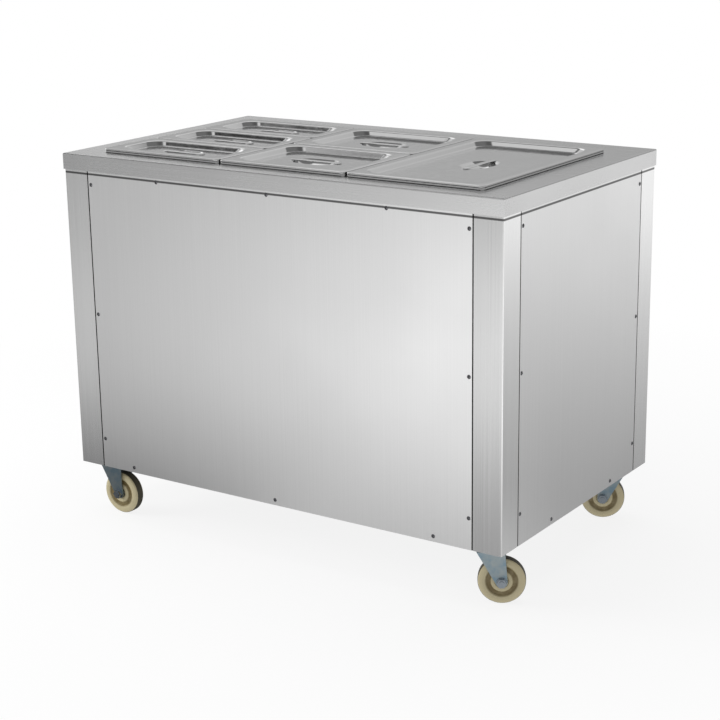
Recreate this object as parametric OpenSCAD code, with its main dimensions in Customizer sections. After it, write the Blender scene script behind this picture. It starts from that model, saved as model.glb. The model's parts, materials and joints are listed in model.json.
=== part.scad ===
// Mobile bain marie: a stainless worktop with three full-size pan places over a heated water well,
// a cupboard with sliding doors below it, and four swivel castors.
// Millimetres, +Z up. The origin is on the floor, under the centre of the worktop.
// X runs along the worktop, the closed front faces -Y and the operator stands at +Y.

/* [Worktop] */
// Worktop beyond the pan places at each end
end_margin = 74.5; // [70:0.5:160]
// Distance from the worktop's front edge to the pan places
front_margin = 50; // [47:1:60]
// Distance from the pan places to the worktop's rear edge
rear_margin = 98; // [90:1:160]
// Height of the worktop's upper face above the floor
top_height = 855; // [820:5:950]
// Depth of the worktop's turned-down edge
edge_drop = 36; // [30:1:50]
// Thickness of the sheet in the worktop, tank, posts, panels and frames
sheet = 1.5; // [1.2:0.1:2]
// Outside radius of the folds
fold_radius = 3; // [2.5:0.5:5]
// Gap between the worktop's turned-down edge and the posts inside it
edge_gap = 0.5; // [0.3:0.1:1]

/* [Pan places] */
// Pitch of the three pan places along the worktop
place_length = 327; // [327:1:333]
// Depth of a pan place, front to back
place_depth = 532; // [532:1:540]
// Gap between the rims of neighbouring pans
pan_gap = 2; // [1:0.5:3]
// How far the outer rims lap over the worktop
rim_lap = 6; // [5:0.5:7]
// Width of the ledge, inside the worktop's cut-out, that carries the support bars
bar_ledge = 5; // [4:0.5:6]
// Width of a support bar
bar_width = 20; // [16:1:22]
// Height of a support bar
bar_height = 18; // [12:1:24]
// Play between a support bar and what it drops into
bar_play = 0.5; // [0.3:0.1:1]
// Rest clearance under a pan's rim and under a lid
seat_gap = 0.3; // [0.2:0.1:0.5]

/* [Pans] */
// Depth of a pan, from its rim's upper face
pan_depth = 150; // [100:5:165]
// Thickness of the sheet in the pans and lids
pan_sheet = 1; // [0.8:0.1:1.2]
// Width of a pan's flat rim
rim_width = 12; // [11:0.5:13]
// Height of a pan rim's turned-down edge
rim_drop = 4; // [3:0.5:5]
// Corner radius of the rims
rim_corner = 12; // [8:1:16]
// Corner radius of a pan's walls
pan_corner = 30; // [26:1:36]
// How far a pan's walls lean inwards on their way down
pan_taper = 10; // [6:1:14]
// Radius between a pan's walls and its floor
pan_fillet = 16; // [10:1:20]

/* [Lids] */
// Height of a lid's turned-down edge
lid_drop = 4; // [3:0.5:5]
// Width of a lid's flat flange
lid_flange = 25; // [20:1:28]
// Depth of a lid's floor below its flange
lid_recess = 15; // [11:1:20]
// How far the recess's walls lean inwards
lid_lean = 7; // [4:1:9]
// Corner radius of the recess
lid_corner = 22; // [18:1:30]
// Length of the finger dimple in a full or half lid
dimple_length = 104; // [90:1:120]
// Width of the finger dimple in a full or half lid
dimple_width = 52; // [44:1:60]
// Length of the finger dimple in a third lid
small_dimple_length = 90; // [80:1:110]
// Width of the finger dimple in a third lid
small_dimple_width = 42; // [38:1:48]
// Depth of a finger dimple below the lid's floor
dimple_depth = 12; // [9:1:15]
// Width of a lid's strap handle
strap_width = 14; // [10:1:18]
// Thickness of a strap handle
strap_thickness = 2; // [1.5:0.5:3]
// Height of the strap's bridge above the lid's floor
strap_rise = 2; // [1:0.5:4]
// Length of the welded lug at each end of a strap
strap_lug = 9; // [7:1:12]

/* [Tank] */
// Depth of the water tank below the worktop's underside
tank_depth = 210; // [200:5:230]
// Width of the tank's flange under the worktop
tank_flange = 15; // [12:1:18]
// Distance from the tank's walls to the outside of its casing
casing_thickness = 18; // [14:1:20]
// Diameter of the heating element's tube
element_diameter = 8; // [6:0.5:10]
// Height of the heating element's axis above the tank's floor
element_height = 20; // [15:1:26]
// Distance between the heating element's two long legs
element_pitch = 220; // [160:5:300]

/* [Drain] */
// Distance of the drain from the tank's right end
drain_inset_x = 98.5; // [80:0.5:200]
// Distance of the drain from the tank's rear wall
drain_inset_y = 64; // [50:1:100]
// Bore of the drain
drain_bore = 22; // [16:1:24]
// Outside diameter of the drain pipe
drain_pipe = 27; // [26:0.5:30]
// Outside diameter of the valve's body
valve_diameter = 40; // [36:1:46]
// Length of the drain below the tank's floor
drain_length = 96; // [90:1:110]
// Length of the drain's lever from its spindle
lever_length = 85; // [60:1:100]
// Diameter of the lever's spindle
lever_spindle = 9; // [8:0.5:12]

/* [Cabinet] */
// Width of each face of a corner post
post_leg = 66; // [50:1:80]
// Width of the flange that a post holds behind each panel
post_flange = 25; // [22:1:32]
// Open joint between a post and a panel
panel_gap = 3; // [2:0.5:5]
// Width of a panel's bottom return
panel_return = 10; // [6:1:11]
// Gap between the top of a panel and the worktop's underside
panel_head = 8; // [4:1:10]
// How far posts and panels reach below the base frame
panel_drop = 3; // [3:0.5:10]
// Width of the channel in the top and base frames
frame_width = 30; // [24:1:32]
// Height of the top frame's channel
top_rail = 30; // [24:1:34]
// Height of the skirt below the top frame, at the front and sides
top_skirt = 20; // [16:1:30]
// Height of the base frame's channel
base_rail = 30; // [24:1:40]
// Length and depth of the base frame's corner plates
gusset_length = 125; // [115:1:150]
// Thickness of the base frame's corner plates
gusset_thickness = 3; // [2:0.5:5]
// Height of the cupboard shelf's upper face above the floor
shelf_height = 400; // [300:5:480]
// Depth of the shelf's turned-down edge
shelf_edge = 25; // [15:1:35]
// Height of the lip round the cupboard's floor
floor_lip = 15; // [8:1:25]

/* [Screws] */
// Diameter of a screw's domed head
screw_head = 9; // [8:0.5:11]
// Height of a screw's domed head
screw_dome = 2; // [1.5:0.1:3]
// Diameter of a screw's shank
screw_shank = 4; // [3:0.5:5]
// Length of a screw's shank
screw_length = 8; // [6:1:12]
// Clearance round a screw's shank
screw_clearance = 0.2; // [0.1:0.05:0.4]
// Distance of the post screws from a panel's edge
screw_edge = 7; // [6:0.5:10]
// Depth of the top row of front screws below the worktop's face
screw_top_row = 44; // [42:1:46]
// Distance of the outer screws of the top front row from the panel's edges
screw_top_inset = 197; // [120:1:260]
// Depth of the highest screws beside the posts below the worktop's face
screw_side_top = 66; // [60:1:120]
// Height of the lowest screws beside the posts above the panels' lower edges
screw_side_low = 68; // [40:1:120]
// Distance of the outer screws of the bottom front row from the panel's edges
screw_low_inset = 91; // [60:1:200]
// Height of the bottom row of screws above the panels' lower edges
screw_low_row = 12; // [10:1:20]
// Distance of an end panel's first bottom screw from the panel's front edge
screw_side_front = 144; // [60:1:200]
// Distance of an end panel's second bottom screw from the panel's rear edge
screw_side_back = 117; // [60:1:200]

/* [Doors] */
// Thickness of a sliding door
door_thickness = 10; // [8:0.5:14]
// Thickness of the sheet in the doors
door_sheet = 1; // [0.8:0.1:1.2]
// Play of a door in its grooves
door_play = 0.5; // [0.3:0.1:1]
// How far the two doors lap past the middle
door_lap = 15; // [8:1:25]
// How far a door reaches behind the post's flange
door_cover = 12; // [6:1:20]
// Height of a door track
track_height = 12; // [10:1:16]
// Depth of a track's grooves
groove_depth = 8; // [6:0.5:9]
// Thickness of a track's outer walls
track_wall = 2.5; // [2:0.5:4]
// Thickness of the wall between a track's grooves
track_middle = 4; // [3:0.5:6]
// Height of a door's finger recess
pull_height = 110; // [80:5:140]
// Width of a door's finger recess
pull_width = 34; // [26:1:44]
// Depth of a door's finger recess
pull_depth = 8; // [6.5:0.5:8]
// Distance from the post's flange to the middle of the finger recess
pull_inset = 45; // [35:1:70]

/* [Controls] */
// Depth of the control panel's lower edge below the worktop's face
control_drop = 165; // [150:5:180]
// How far the control panel is set back from the post flanges
control_setback = 26; // [26:1:28]
// Half the length of the control panel's recess, short of the post flanges
control_margin = 9; // [6:1:14]
// Distance of the thermostat from the control panel's left end
thermostat_inset = 160; // [120:5:260]
// Diameter of the thermostat's knob
knob_diameter = 50; // [40:1:56]
// Height of the thermostat's knob
knob_height = 21; // [16:1:22]
// Diameter of the thermostat's spindle
spindle_diameter = 6; // [5:0.5:8]
// Size of the thermostat's body along X and Z
thermostat_size = 42; // [34:1:50]
// Depth of the thermostat's body
thermostat_depth = 40; // [30:1:42]
// Distance of the power switch from the thermostat
switch_offset = 90; // [70:1:120]
// Width and height of the switch's rocker
rocker_width = 22; // [18:1:26]
rocker_height = 16; // [14:1:22]
// Tilt of the rocker either side of its middle
rocker_tilt = 7; // [5:1:9]
// Distance of the indicator lamp from the thermostat
lamp_offset = 75; // [60:1:110]
// Diameter of the indicator lamp's lens
lamp_diameter = 14; // [10:1:18]
// Bore of the cable gland
gland_bore = 11; // [8:0.5:12]
// Distance of the cable gland from the base frame's left edge
gland_inset_x = 170; // [150:5:300]
// Distance of the cable gland from the base frame's rear edge
gland_inset_y = 130; // [130:5:200]

/* [Castors] */
// Height of a castor, from the floor to its plate's upper face
castor_height = 130; // [126:1:140]
// Diameter of a castor wheel
wheel_diameter = 100; // [90:1:104]
// Width of a castor wheel
wheel_width = 28; // [22:1:32]
// Radius of the wheel's shoulders
wheel_shoulder = 6; // [3:0.5:9]
// Offset of the wheel's axle from the swivel axis
castor_trail = 24; // [20:1:28]
// Distance of the swivel axes from the worktop's ends
castor_inset_x = 57; // [56:1:70]
// Distance of the swivel axes from the worktop's front and back edges
castor_inset_y = 54; // [54:1:70]
// Length of a castor's top plate, along X
plate_length = 92; // [86:1:94]
// Depth of a castor's top plate, along Y
plate_depth = 80; // [76:1:82]
// Thickness of a castor's top plate
plate_thickness = 3; // [2.5:0.5:4]
// Distance between a castor's bolts along X
bolt_pitch_x = 72; // [68:1:74]
// Distance between a castor's bolts along Y
bolt_pitch_y = 60; // [56:1:62]
// Diameter of a castor's bolts
bolt_diameter = 8; // [6:1:8]
// Diameter of the wheel's axle bolt
axle_diameter = 12; // [10:1:14]
// Diameter of the swivel's king pin
kingpin_diameter = 12; // [10:1:14]
// Radial running clearance of axles, pins and spindles
running_fit = 0.08; // [0.04:0.01:0.1]
// Thickness of the pressed fork
fork_sheet = 2.5; // [2:0.5:3]
// Gap between the wheel and each fork leg
fork_side_gap = 3.5; // [3:0.5:5]
// Width of a fork leg at its crown
fork_crown = 61; // [50:1:62]
// Radius of a fork leg round the axle
fork_eye = 12; // [11:0.5:15]

/* [Hidden] */
$fn = 48;
// Overshoot of a cut past the face that it opens
past = 1;

// Overall length and depth of the worktop
top_length = 3 * place_length + 2 * end_margin;
top_depth = place_depth + front_margin + rear_margin;

// Outer planes of the cabinet
half_length = top_length / 2;
half_depth = top_depth / 2;
post_x = half_length - sheet - edge_gap;
post_y = half_depth - sheet - edge_gap;
frame_x = post_x - 2 * sheet;
frame_y = post_y - 2 * sheet;
under_top = top_height - sheet;
panel_bottom = castor_height - panel_drop;
panel_top = under_top - panel_head;
post_top = under_top - max(fold_radius - sheet, sheet / 4);
panel_edge = post_leg + panel_gap;
panel_half = post_x - panel_edge;
end_half = post_y - panel_edge;
flange_reach = panel_edge + post_flange;
base_top = castor_height + base_rail;

// The well and its pans
well_y = -half_depth + front_margin + place_depth / 2;
hole_length = 3 * place_length - pan_gap - 2 * rim_lap;
hole_depth = place_depth - pan_gap - 2 * rim_lap;
tank_length = hole_length - 2 * bar_ledge;
tank_width = hole_depth - 2 * bar_ledge;
tank_floor = under_top - tank_depth;
rim_seat = top_height + seat_gap;
lid_seat = rim_seat + rim_drop + seat_gap;
rim_half_x = (place_length - pan_gap) / 2;
drain_x = tank_length / 2 - drain_inset_x;
drain_y = tank_width / 2 - drain_inset_y;

// Doors, tracks and control panel
groove_width = door_thickness + 2 * door_play;
track_width = 2 * track_wall + 2 * groove_width + track_middle;
outer_door_y = frame_y - track_wall - groove_width / 2;
inner_door_y = outer_door_y - groove_width - track_middle;
control_bottom = top_height - control_drop;
control_top = under_top - top_rail;
control_y = frame_y - control_setback;
control_half = post_x - flange_reach - control_margin;
control_z = (control_bottom + control_top) / 2;
thermostat_x = thermostat_inset - control_half;
door_opening = post_x - flange_reach;
door_width = door_opening + door_cover + door_lap;
door_bottom = base_top + track_height - groove_depth + door_play;
door_top = control_bottom - track_height + groove_depth - door_play;

// Castors, as distances above the floor
plate_bottom = castor_height - plate_thickness;
race_height = 6;
race_radius = 26;
race_gap = 0.6;
crown_top = plate_bottom - race_height - race_gap;
crown_bottom = crown_top - fork_sheet;
fork_width = wheel_width + 2 * (fork_side_gap + fork_sheet);
cup_radius = race_radius + 5;
axle_z = wheel_diameter / 2;
swivel_x = half_length - castor_inset_x;
swivel_y = half_depth - castor_inset_y;
bolt_hole = bolt_diameter / 2 + 0.2;

// Which way each wheel trails at rest, in degrees from +X
angle_front_left = 0;
angle_front_right = 29;
angle_rear_left = 209;
angle_rear_right = 205.8;

// Where the screws go: place of the head's seat, then the turn that points +Z outwards
side_high_z = top_height - screw_side_top;
side_low_z = panel_bottom + screw_side_low;
side_rows = [side_high_z, (side_high_z + side_low_z) / 2, side_low_z];
front_column = panel_half - screw_edge;
side_column = end_half - screw_edge;
top_row_z = top_height - screw_top_row;
low_row_z = panel_bottom + screw_low_row;
SCREWS = concat(
  [for (i = [-1:1]) [[i * (panel_half - screw_top_inset), -post_y, top_row_z], [90, 0, 0]]],
  [for (i = [-1:1]) [[i * (panel_half - screw_low_inset), -post_y, low_row_z], [90, 0, 0]]],
  [for (s = [-1, 1]) for (z = side_rows) [[s * front_column, -post_y, z], [90, 0, 0]]],
  [for (s = [-1, 1]) for (c = [-1, 1]) for (z = side_rows)
    [[s * post_x, c * side_column, z], [0, s * 90, 0]]],
  [for (s = [-1, 1]) for (y = [screw_side_front - end_half, end_half - screw_side_back])
    [[s * post_x, y, low_row_z], [0, s * 90, 0]]],
  [for (s = [-1, 1]) for (z = [0.25, 0.75])
    [[s * (door_opening + post_flange / 2), frame_y + sheet, (1 - z) * control_bottom + z * control_top],
      [-90, 0, 0]]]
);

// Block of the given size, centred in X and Y, standing on z
module block(size, z) {
  translate([-size[0] / 2, -size[1] / 2, z]) cube(size);
}

// Profile of width w and height h on the X axis, with both upper corners rounded by r
module arch_2d(w, h, r) {
  translate([-w / 2, 0]) square([w, h - r]);
  translate([-w / 2 + r, 0]) square([w - 2 * r, h]);
  for (s = [-1, 1]) translate([s * (w / 2 - r), h - r]) circle(r);
}

// Block with folded upper edges and mitred corners
module folded_block(l, d, h, r) {
  intersection() {
    rotate([90, 0, 0]) linear_extrude(d, center = true) arch_2d(l, h, r);
    rotate([90, 0, 90]) linear_extrude(l, center = true) arch_2d(d, h, r);
  }
}

// Sheet tray turned upside down, with its upper face at height h above its rim
module folded_tray(l, d, h, t, r) {
  difference() {
    folded_block(l, d, h, r);
    translate([0, 0, -t]) folded_block(l - 2 * t, d - 2 * t, h, max(r - t, t / 4));
  }
}

// Rectangle centred on the origin with its corners rounded by r
module rounded_2d(l, d, r) {
  square([l - 2 * r, d], center = true);
  square([l, d - 2 * r], center = true);
  for (x = [-1, 1]) for (y = [-1, 1]) translate([x * (l / 2 - r), y * (d / 2 - r)]) circle(r);
}

// Square of side a with its corner at the origin rounded by r
module corner_2d(a, r) {
  translate([r, 0]) square([a - r, a]);
  translate([0, r]) square([a, a - r]);
  translate([r, r]) circle(r);
}

// Ring of channel, open inwards: outer size l by d, height h, width w, standing on z
module channel_ring(l, d, h, w, z) {
  difference() {
    block([l, d, h], z);
    block([l - 2 * w, d - 2 * w, h + 2 * past], z - past);
    block([l - 2 * sheet, d - 2 * sheet, h - 2 * sheet], z + sheet);
  }
}

// Holes for every screw's shank
module screw_holes() {
  for (s = SCREWS) translate(s[0]) rotate(s[1])
    translate([0, 0, -screw_length - past])
      cylinder(h = screw_length + 2 * past, r = screw_shank / 2 + screw_clearance, $fn = 24);
}

// Steps in each quarter turn of a pressed corner
corner_steps = 6;

// Ring of points round a rounded rectangle with half sizes hx and hy, at height z
function ring(hx, hy, r, z) = [
  for (c = [0:3]) for (k = [0:corner_steps])
    let (a = 90 * (c + k / corner_steps), sx = c == 0 || c == 3 ? 1 : -1, sy = c < 2 ? 1 : -1)
    [sx * (hx - r) + r * cos(a), sy * (hy - r) + r * sin(a), z]
];

// Closed skin through a list of rings, from the upper surface's middle over the rim to the underside
module pressing(rings) {
  n = len(rings[0]);
  last = len(rings) - 1;
  walls = [
    for (i = [0:last - 1]) for (j = [0:n - 1])
      let (a = i * n + j, b = i * n + (j + 1) % n)
      each [[a, b, b + n], [a, b + n, a + n]]
  ];
  upper = [for (j = [n - 1:-1:0]) j];
  under = [for (j = [0:n - 1]) last * n + j];
  polyhedron([for (r = rings) each r], concat(walls, [upper, under]));
}

// Worktop: top sheet with turned-down edges and the cut-out for the pans
module worktop() {
  color("silver") difference() {
    translate([0, 0, top_height - edge_drop])
      folded_tray(top_length, top_depth, edge_drop, sheet, fold_radius);
    translate([0, well_y, 0])
      block([hole_length, hole_depth, 2 * (sheet + past)], under_top - sheet - past);
  }
}

// Floor of the welded water tank, with its drain hole
module tank_base() {
  color("lightgray") translate([0, well_y, 0]) difference() {
    block([tank_length, tank_width, sheet], tank_floor - sheet);
    translate([drain_x, drain_y, tank_floor - sheet - past])
      cylinder(h = sheet + 2 * past, d = drain_bore);
  }
}

// Wall of the water tank over length along Y, with its flange over flange_length, from x = 0 outwards
module tank_wall(length, flange_length) {
  translate([sheet / 2, 0, 0]) block([sheet, length, tank_depth + sheet], tank_floor - sheet);
  translate([(sheet + tank_flange) / 2, 0, 0])
    block([sheet + tank_flange, flange_length, sheet], under_top - sheet);
}

// Front and rear walls of the water tank, each with its flange under the worktop
module tank_sides() {
  color("lightgray") translate([0, well_y, 0]) for (a = [-90, 90]) rotate([0, 0, a])
    translate([tank_width / 2, 0, 0]) tank_wall(tank_length, tank_length);
}

// Left and right walls of the water tank, which close the ends of its floor and its long walls
module tank_ends() {
  width = tank_width + 2 * sheet;
  color("lightgray") translate([0, well_y, 0]) for (a = [0, 180]) rotate([0, 0, a])
    translate([tank_length / 2, 0, 0]) tank_wall(width, width + 2 * tank_flange);
}

// Casing round the tank: a sheet box with a return under the tank's flange, spaced for insulation
module tank_casing() {
  length = tank_length + 2 * (sheet + casing_thickness);
  width = tank_width + 2 * (sheet + casing_thickness);
  lip = casing_thickness - 2 * sheet;
  low = tank_floor - sheet - casing_thickness;
  high = under_top - sheet;
  color("gainsboro") translate([0, well_y, 0]) difference() {
    block([length, width, high - low], low);
    block([length - 2 * sheet, width - 2 * sheet, high - low - 2 * sheet], low + sheet);
    block([length - 2 * lip, width - 2 * lip, sheet + 2 * past], high - sheet - past);
    translate([drain_x, drain_y, low - past]) cylinder(h = sheet + 2 * past, d = drain_pipe + 2);
  }
}

// Inverted channel from x0 to x1 along X, its upper face level with the worktop
module bar_channel(x0, x1) {
  difference() {
    translate([x0, -bar_width / 2, top_height - bar_height])
      cube([x1 - x0, bar_width, bar_height]);
    translate([x0 - past, -bar_width / 2 + sheet, top_height - bar_height - past])
      cube([x1 - x0 + 2 * past, bar_width - 2 * sheet, bar_height - sheet + past]);
  }
}

// Size of the tab that hooks a cross bar into a long bar, and the play of its slot
tab_width = bar_width / 2;
tab_length = 6;
tab_play = 0.2;
tab_top = top_height - sheet - tab_play;

// Long support bar between two pan places, with a tab on the ledge at each end
module long_bar(side) {
  slots = side < 0 ? [[-1, -1 / 6], [-1, 1 / 6], [1, 0]] : [[-1, 0]];
  translate([side * place_length / 2, 0, 0]) difference() {
    translate([0, well_y, 0]) rotate([0, 0, 90]) union() {
      bar_channel(-tank_width / 2 + bar_play, tank_width / 2 - bar_play);
      block([hole_depth - 2 * bar_play, bar_width, sheet], under_top);
    }
    for (s = slots)
      translate([s[0] * bar_width / 2, well_y + s[1] * place_depth, tab_top - sheet - tab_play])
        block([4 * sheet, tab_width + 2 * bar_play, sheet + 2 * tab_play], 0);
  }
}

// Both long support bars
module long_bars() {
  color("silver") for (side = [-1, 1]) long_bar(side);
}

// Cross bar from x0 to x1, hooked into a long bar at each end named in hooks
module cross_bar(x0, x1, hooks) {
  bar_channel(x0, x1);
  for (h = hooks) {
    tip = h < 0 ? x0 - tab_length : x1 - tab_length;
    translate([tip, -tab_width / 2, tab_top - sheet]) cube([2 * tab_length, tab_width, sheet]);
    root = h < 0 ? x0 : x1 - tab_length;
    translate([root, -tab_width / 2, tab_top - sheet]) cube([tab_length, tab_width, 2 * sheet]);
  }
}

// Two cross bars in the left place, for third pans, and one in the middle place, for half pans
module cross_bars() {
  long_side = (place_length - bar_width) / 2;
  left_end = -tank_length / 2 + bar_play;
  color("silver") {
    for (s = [-1, 1]) translate([0, well_y + s * place_depth / 6, 0]) {
      cross_bar(left_end, -place_length / 2 - bar_width / 2 - tab_play, [1]);
      translate([-hole_length / 2 + bar_play, -bar_width / 2, under_top])
        cube([left_end + hole_length / 2, bar_width, sheet]);
    }
    translate([0, well_y, 0]) cross_bar(-long_side + tab_play, long_side - tab_play, [-1, 1]);
  }
}

// Centre of the pan with index k of n in the place with index p, counted from the left and the front
function pan_centre(p, k, n) = [(p - 1) * place_length, well_y + ((k + 0.5) / n - 0.5) * place_depth, 0];

// Half the depth of a pan's rim where n pans share a place
function rim_half_y(n) = (place_depth / n - pan_gap) / 2;

// Rings of a pan, with heights counted from the lower edge of its rim
function pan_rings(hx, hy) =
  let (
    t = pan_sheet, w = rim_width, c = pan_corner, f = pan_fillet,
    low = rim_drop - pan_depth + t, foot = w + pan_taper, bend = 1.5
  )
  [for (s = [
    [foot + f, low, c - 0.6 * f],
    [foot + 0.3 * f, low + 0.3 * f, c - 0.2 * f],
    [foot, low + f, c],
    [w + bend, rim_drop - 2 * bend, c],
    [w, rim_drop, c + bend],
    [t, rim_drop, rim_corner - t],
    [0, rim_drop - t, rim_corner],
    [0, 0, rim_corner],
    [t, 0, rim_corner - t],
    [t, rim_drop - t, rim_corner - t],
    [w + bend / 3 - t, rim_drop - t, c + t],
    [w + bend - t, rim_drop - 2 * bend - t / 2, c + t],
    [foot - t, low + f, c + t],
    [foot + 0.3 * f - 0.7 * t, low + 0.3 * f - 0.7 * t, c - 0.2 * f + t],
    [foot + f, low - t, c - 0.6 * f]
  ]) ring(hx - s[0], hy - s[0], s[2], s[1])];

// Pan with index k of n in place p
module pan(p, k, n) {
  color("silver") translate(pan_centre(p, k, n) + [0, 0, rim_seat])
    pressing(pan_rings(rim_half_x, rim_half_y(n)));
}

// Rings of a lid, with heights counted from the lower edge of its rim; a and b are half the dimple's sizes
function lid_rings(hx, hy, a, b) =
  let (
    t = pan_sheet, f = lid_flange, w = lid_flange + lid_lean, c = lid_corner,
    top = lid_drop, low = lid_drop - lid_recess, dish = low - dimple_depth,
    round = min(a, b) - 1, slope = 0.5 * round, fillet = 3
  )
  concat(
    [for (s = [
      [slope, dish],
      [0.3 * slope, dish + 0.3 * dimple_depth],
      [1, low - 1],
      [-1, low]
    ]) ring(a - s[0], b - s[0], round - s[0], s[1])],
    [for (s = [
      [w + fillet, low, c - fillet],
      [w, low + fillet, c],
      [f + 1, top - fillet / 2, c],
      [f - 1, top, c + 2],
      [t, top, rim_corner - t],
      [0, top - t, rim_corner],
      [0, 0, rim_corner],
      [t, 0, rim_corner - t],
      [t, top - t, rim_corner - t],
      [f - 1 - t / 2, top - t, c + 2],
      [f + 1 - t, top - fillet / 2 - t / 2, c + t],
      [w - t, low + fillet, c + t],
      [w + fillet, low - t, c - fillet]
    ]) ring(hx - s[0], hy - s[0], s[2], s[1])],
    [for (s = [
      [-1 - t / 2, low - t],
      [1 - t, low - 1 - t / 2],
      [0.3 * slope - t, dish + 0.3 * dimple_depth - t / 2],
      [slope, dish - t]
    ]) ring(a - s[0], b - s[0], round - s[0], s[1])]
  );

// Half length and half width of the dimple where n pans share a place
function dimple_half(n) =
  n == 3 ? [small_dimple_length, small_dimple_width] / 2 : [dimple_length, dimple_width] / 2;

// Lid with index k of n in place p; a full lid has its dimple and strap along Y
module lid(p, k, n) {
  d = dimple_half(n);
  a = n == 1 ? d[1] : d[0];
  b = n == 1 ? d[0] : d[1];
  color("silver") translate(pan_centre(p, k, n) + [0, 0, lid_seat])
    pressing(lid_rings(rim_half_x, rim_half_y(n), a, b));
}

// Strap handle that bridges the dimple of the lid with index k of n in place p
module handle(p, k, n) {
  a = dimple_half(n)[0];
  t = strap_thickness;
  flat = a - 2 * strap_rise;
  lug = a + 2;
  tip = lug + strap_lug;
  color("gainsboro") translate(pan_centre(p, k, n) + [0, 0, lid_seat + lid_drop - lid_recess])
    rotate([0, 0, n == 1 ? 90 : 0]) intersection() {
      rotate([90, 0, 0]) linear_extrude(strap_width, center = true) polygon([
        [-tip, 0], [-lug, 0], [-flat, strap_rise], [flat, strap_rise], [lug, 0], [tip, 0],
        [tip, t], [lug, t], [flat, strap_rise + t], [-flat, strap_rise + t], [-lug, t], [-tip, t]
      ]);
      linear_extrude(strap_rise + t) rounded_2d(2 * tip, strap_width, strap_width / 2 - 0.5);
    }
}

// Outline of a corner post from above: an angle with a stepped-back flange behind each panel
module post_2d() {
  difference() {
    corner_2d(post_leg, fold_radius);
    translate([sheet, sheet]) corner_2d(post_leg, max(fold_radius - sheet, sheet / 4));
  }
  for (flip = [0, 1]) mirror([flip, -flip]) {
    translate([post_leg - sheet, 0]) square([sheet, 2 * sheet]);
    translate([post_leg - sheet, sheet]) square([flange_reach - post_leg + sheet, sheet]);
  }
}

// Corner post at the end sx, -1 left or 1 right, and the side sy, -1 front or 1 rear
module post(sx, sy) {
  color("silver") difference() {
    translate([sx * post_x, sy * post_y, panel_bottom])
      mirror([sx > 0 ? 1 : 0, 0, 0]) mirror([0, sy > 0 ? 1 : 0, 0])
        linear_extrude(post_top - panel_bottom) post_2d();
    screw_holes();
  }
}

// Top frame: channel ring under the worktop, with a skirt behind the front and side panels
module top_frame() {
  skirt_z = under_top - top_rail - top_skirt;
  color("darkgray") difference() {
    union() {
      channel_ring(2 * frame_x, 2 * frame_y, top_rail, frame_width, under_top - top_rail);
      difference() {
        block([2 * frame_x, 2 * frame_y, top_skirt + sheet], skirt_z);
        block([2 * (frame_x - sheet), 2 * (frame_y - sheet), top_skirt + sheet + 2 * past], skirt_z - past);
        translate([0, frame_y, 0])
          block([2 * frame_x + past, 2 * frame_width, top_skirt + past], skirt_z - past);
      }
    }
    screw_holes();
  }
}

// Where the castors stand: the end, the side and the rest angle of each
CASTORS = [
  [-1, -1, angle_front_left], [1, -1, angle_front_right],
  [-1, 1, angle_rear_left], [1, 1, angle_rear_right]
];

// Children placed at each of a castor plate's four bolts
module at_bolts() {
  for (c = CASTORS) translate([c[0] * swivel_x, c[1] * swivel_y, 0])
    for (x = [-1, 1]) for (y = [-1, 1])
      translate([x * bolt_pitch_x / 2, y * bolt_pitch_y / 2, 0]) children();
}

// Base frame: channel ring with a plate in each corner for a castor
module base_frame() {
  color("darkgray") difference() {
    union() {
      channel_ring(2 * frame_x, 2 * frame_y, base_rail, frame_width, castor_height);
      for (c = CASTORS)
        translate([c[0] * (frame_x - gusset_length / 2), c[1] * (frame_y - gusset_length / 2), 0])
          block([gusset_length, gusset_length, gusset_thickness], castor_height);
    }
    at_bolts() translate([0, 0, castor_height - past])
      cylinder(h = gusset_thickness + 2 * past, r = bolt_hole, $fn = 24);
    screw_holes();
  }
}

// Flat panel of width w between two posts, its outer face on y = 0, with a return along its bottom
module panel(w) {
  clear = post_flange + past;
  translate([-w / 2, 0, panel_bottom]) cube([w, sheet, panel_top - panel_bottom]);
  translate([-w / 2 + clear, 0, panel_bottom]) cube([w - 2 * clear, panel_return, sheet]);
}

// Front panel
module front_panel() {
  color("silver") difference() {
    translate([0, -post_y, 0]) panel(2 * panel_half);
    screw_holes();
  }
}

// End panel, -1 left or 1 right
module end_panel(side) {
  color("silver") difference() {
    translate([side * post_x, 0, 0]) rotate([0, 0, side * 90]) panel(2 * end_half);
    screw_holes();
  }
}

// Size of the switch's opening in the control panel
switch_hole_x = rocker_width + 6;
switch_hole_z = rocker_height + 8;
switch_x = thermostat_x - switch_offset;
lamp_x = thermostat_x + lamp_offset;

// Control panel: a recess between the rear posts, under the worktop
module control_panel() {
  height = control_top - control_bottom;
  depth = frame_y - control_y + sheet;
  wing = control_margin + post_flange - 2;
  color("silver") difference() {
    union() {
      translate([0, 0, control_bottom]) linear_extrude(height) {
        translate([-control_half, control_y - sheet]) square([2 * control_half, sheet]);
        for (flip = [0, 1]) mirror([flip, 0]) {
          translate([control_half - sheet, control_y - sheet]) square([sheet, depth]);
          translate([control_half, frame_y - sheet]) square([wing, sheet]);
        }
      }
      for (z = [control_bottom, control_top - sheet])
        translate([-control_half, control_y - sheet, z]) cube([2 * control_half, depth, sheet]);
    }
    translate([thermostat_x, control_y - sheet - past, control_z]) rotate([-90, 0, 0])
      cylinder(h = sheet + 2 * past, d = spindle_diameter + 3);
    translate([lamp_x, control_y - sheet - past, control_z]) rotate([-90, 0, 0])
      cylinder(h = sheet + 2 * past, d = lamp_diameter - 3);
    translate([switch_x, control_y, control_z])
      cube([switch_hole_x, 4 * sheet, switch_hole_z], center = true);
    screw_holes();
  }
}

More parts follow.
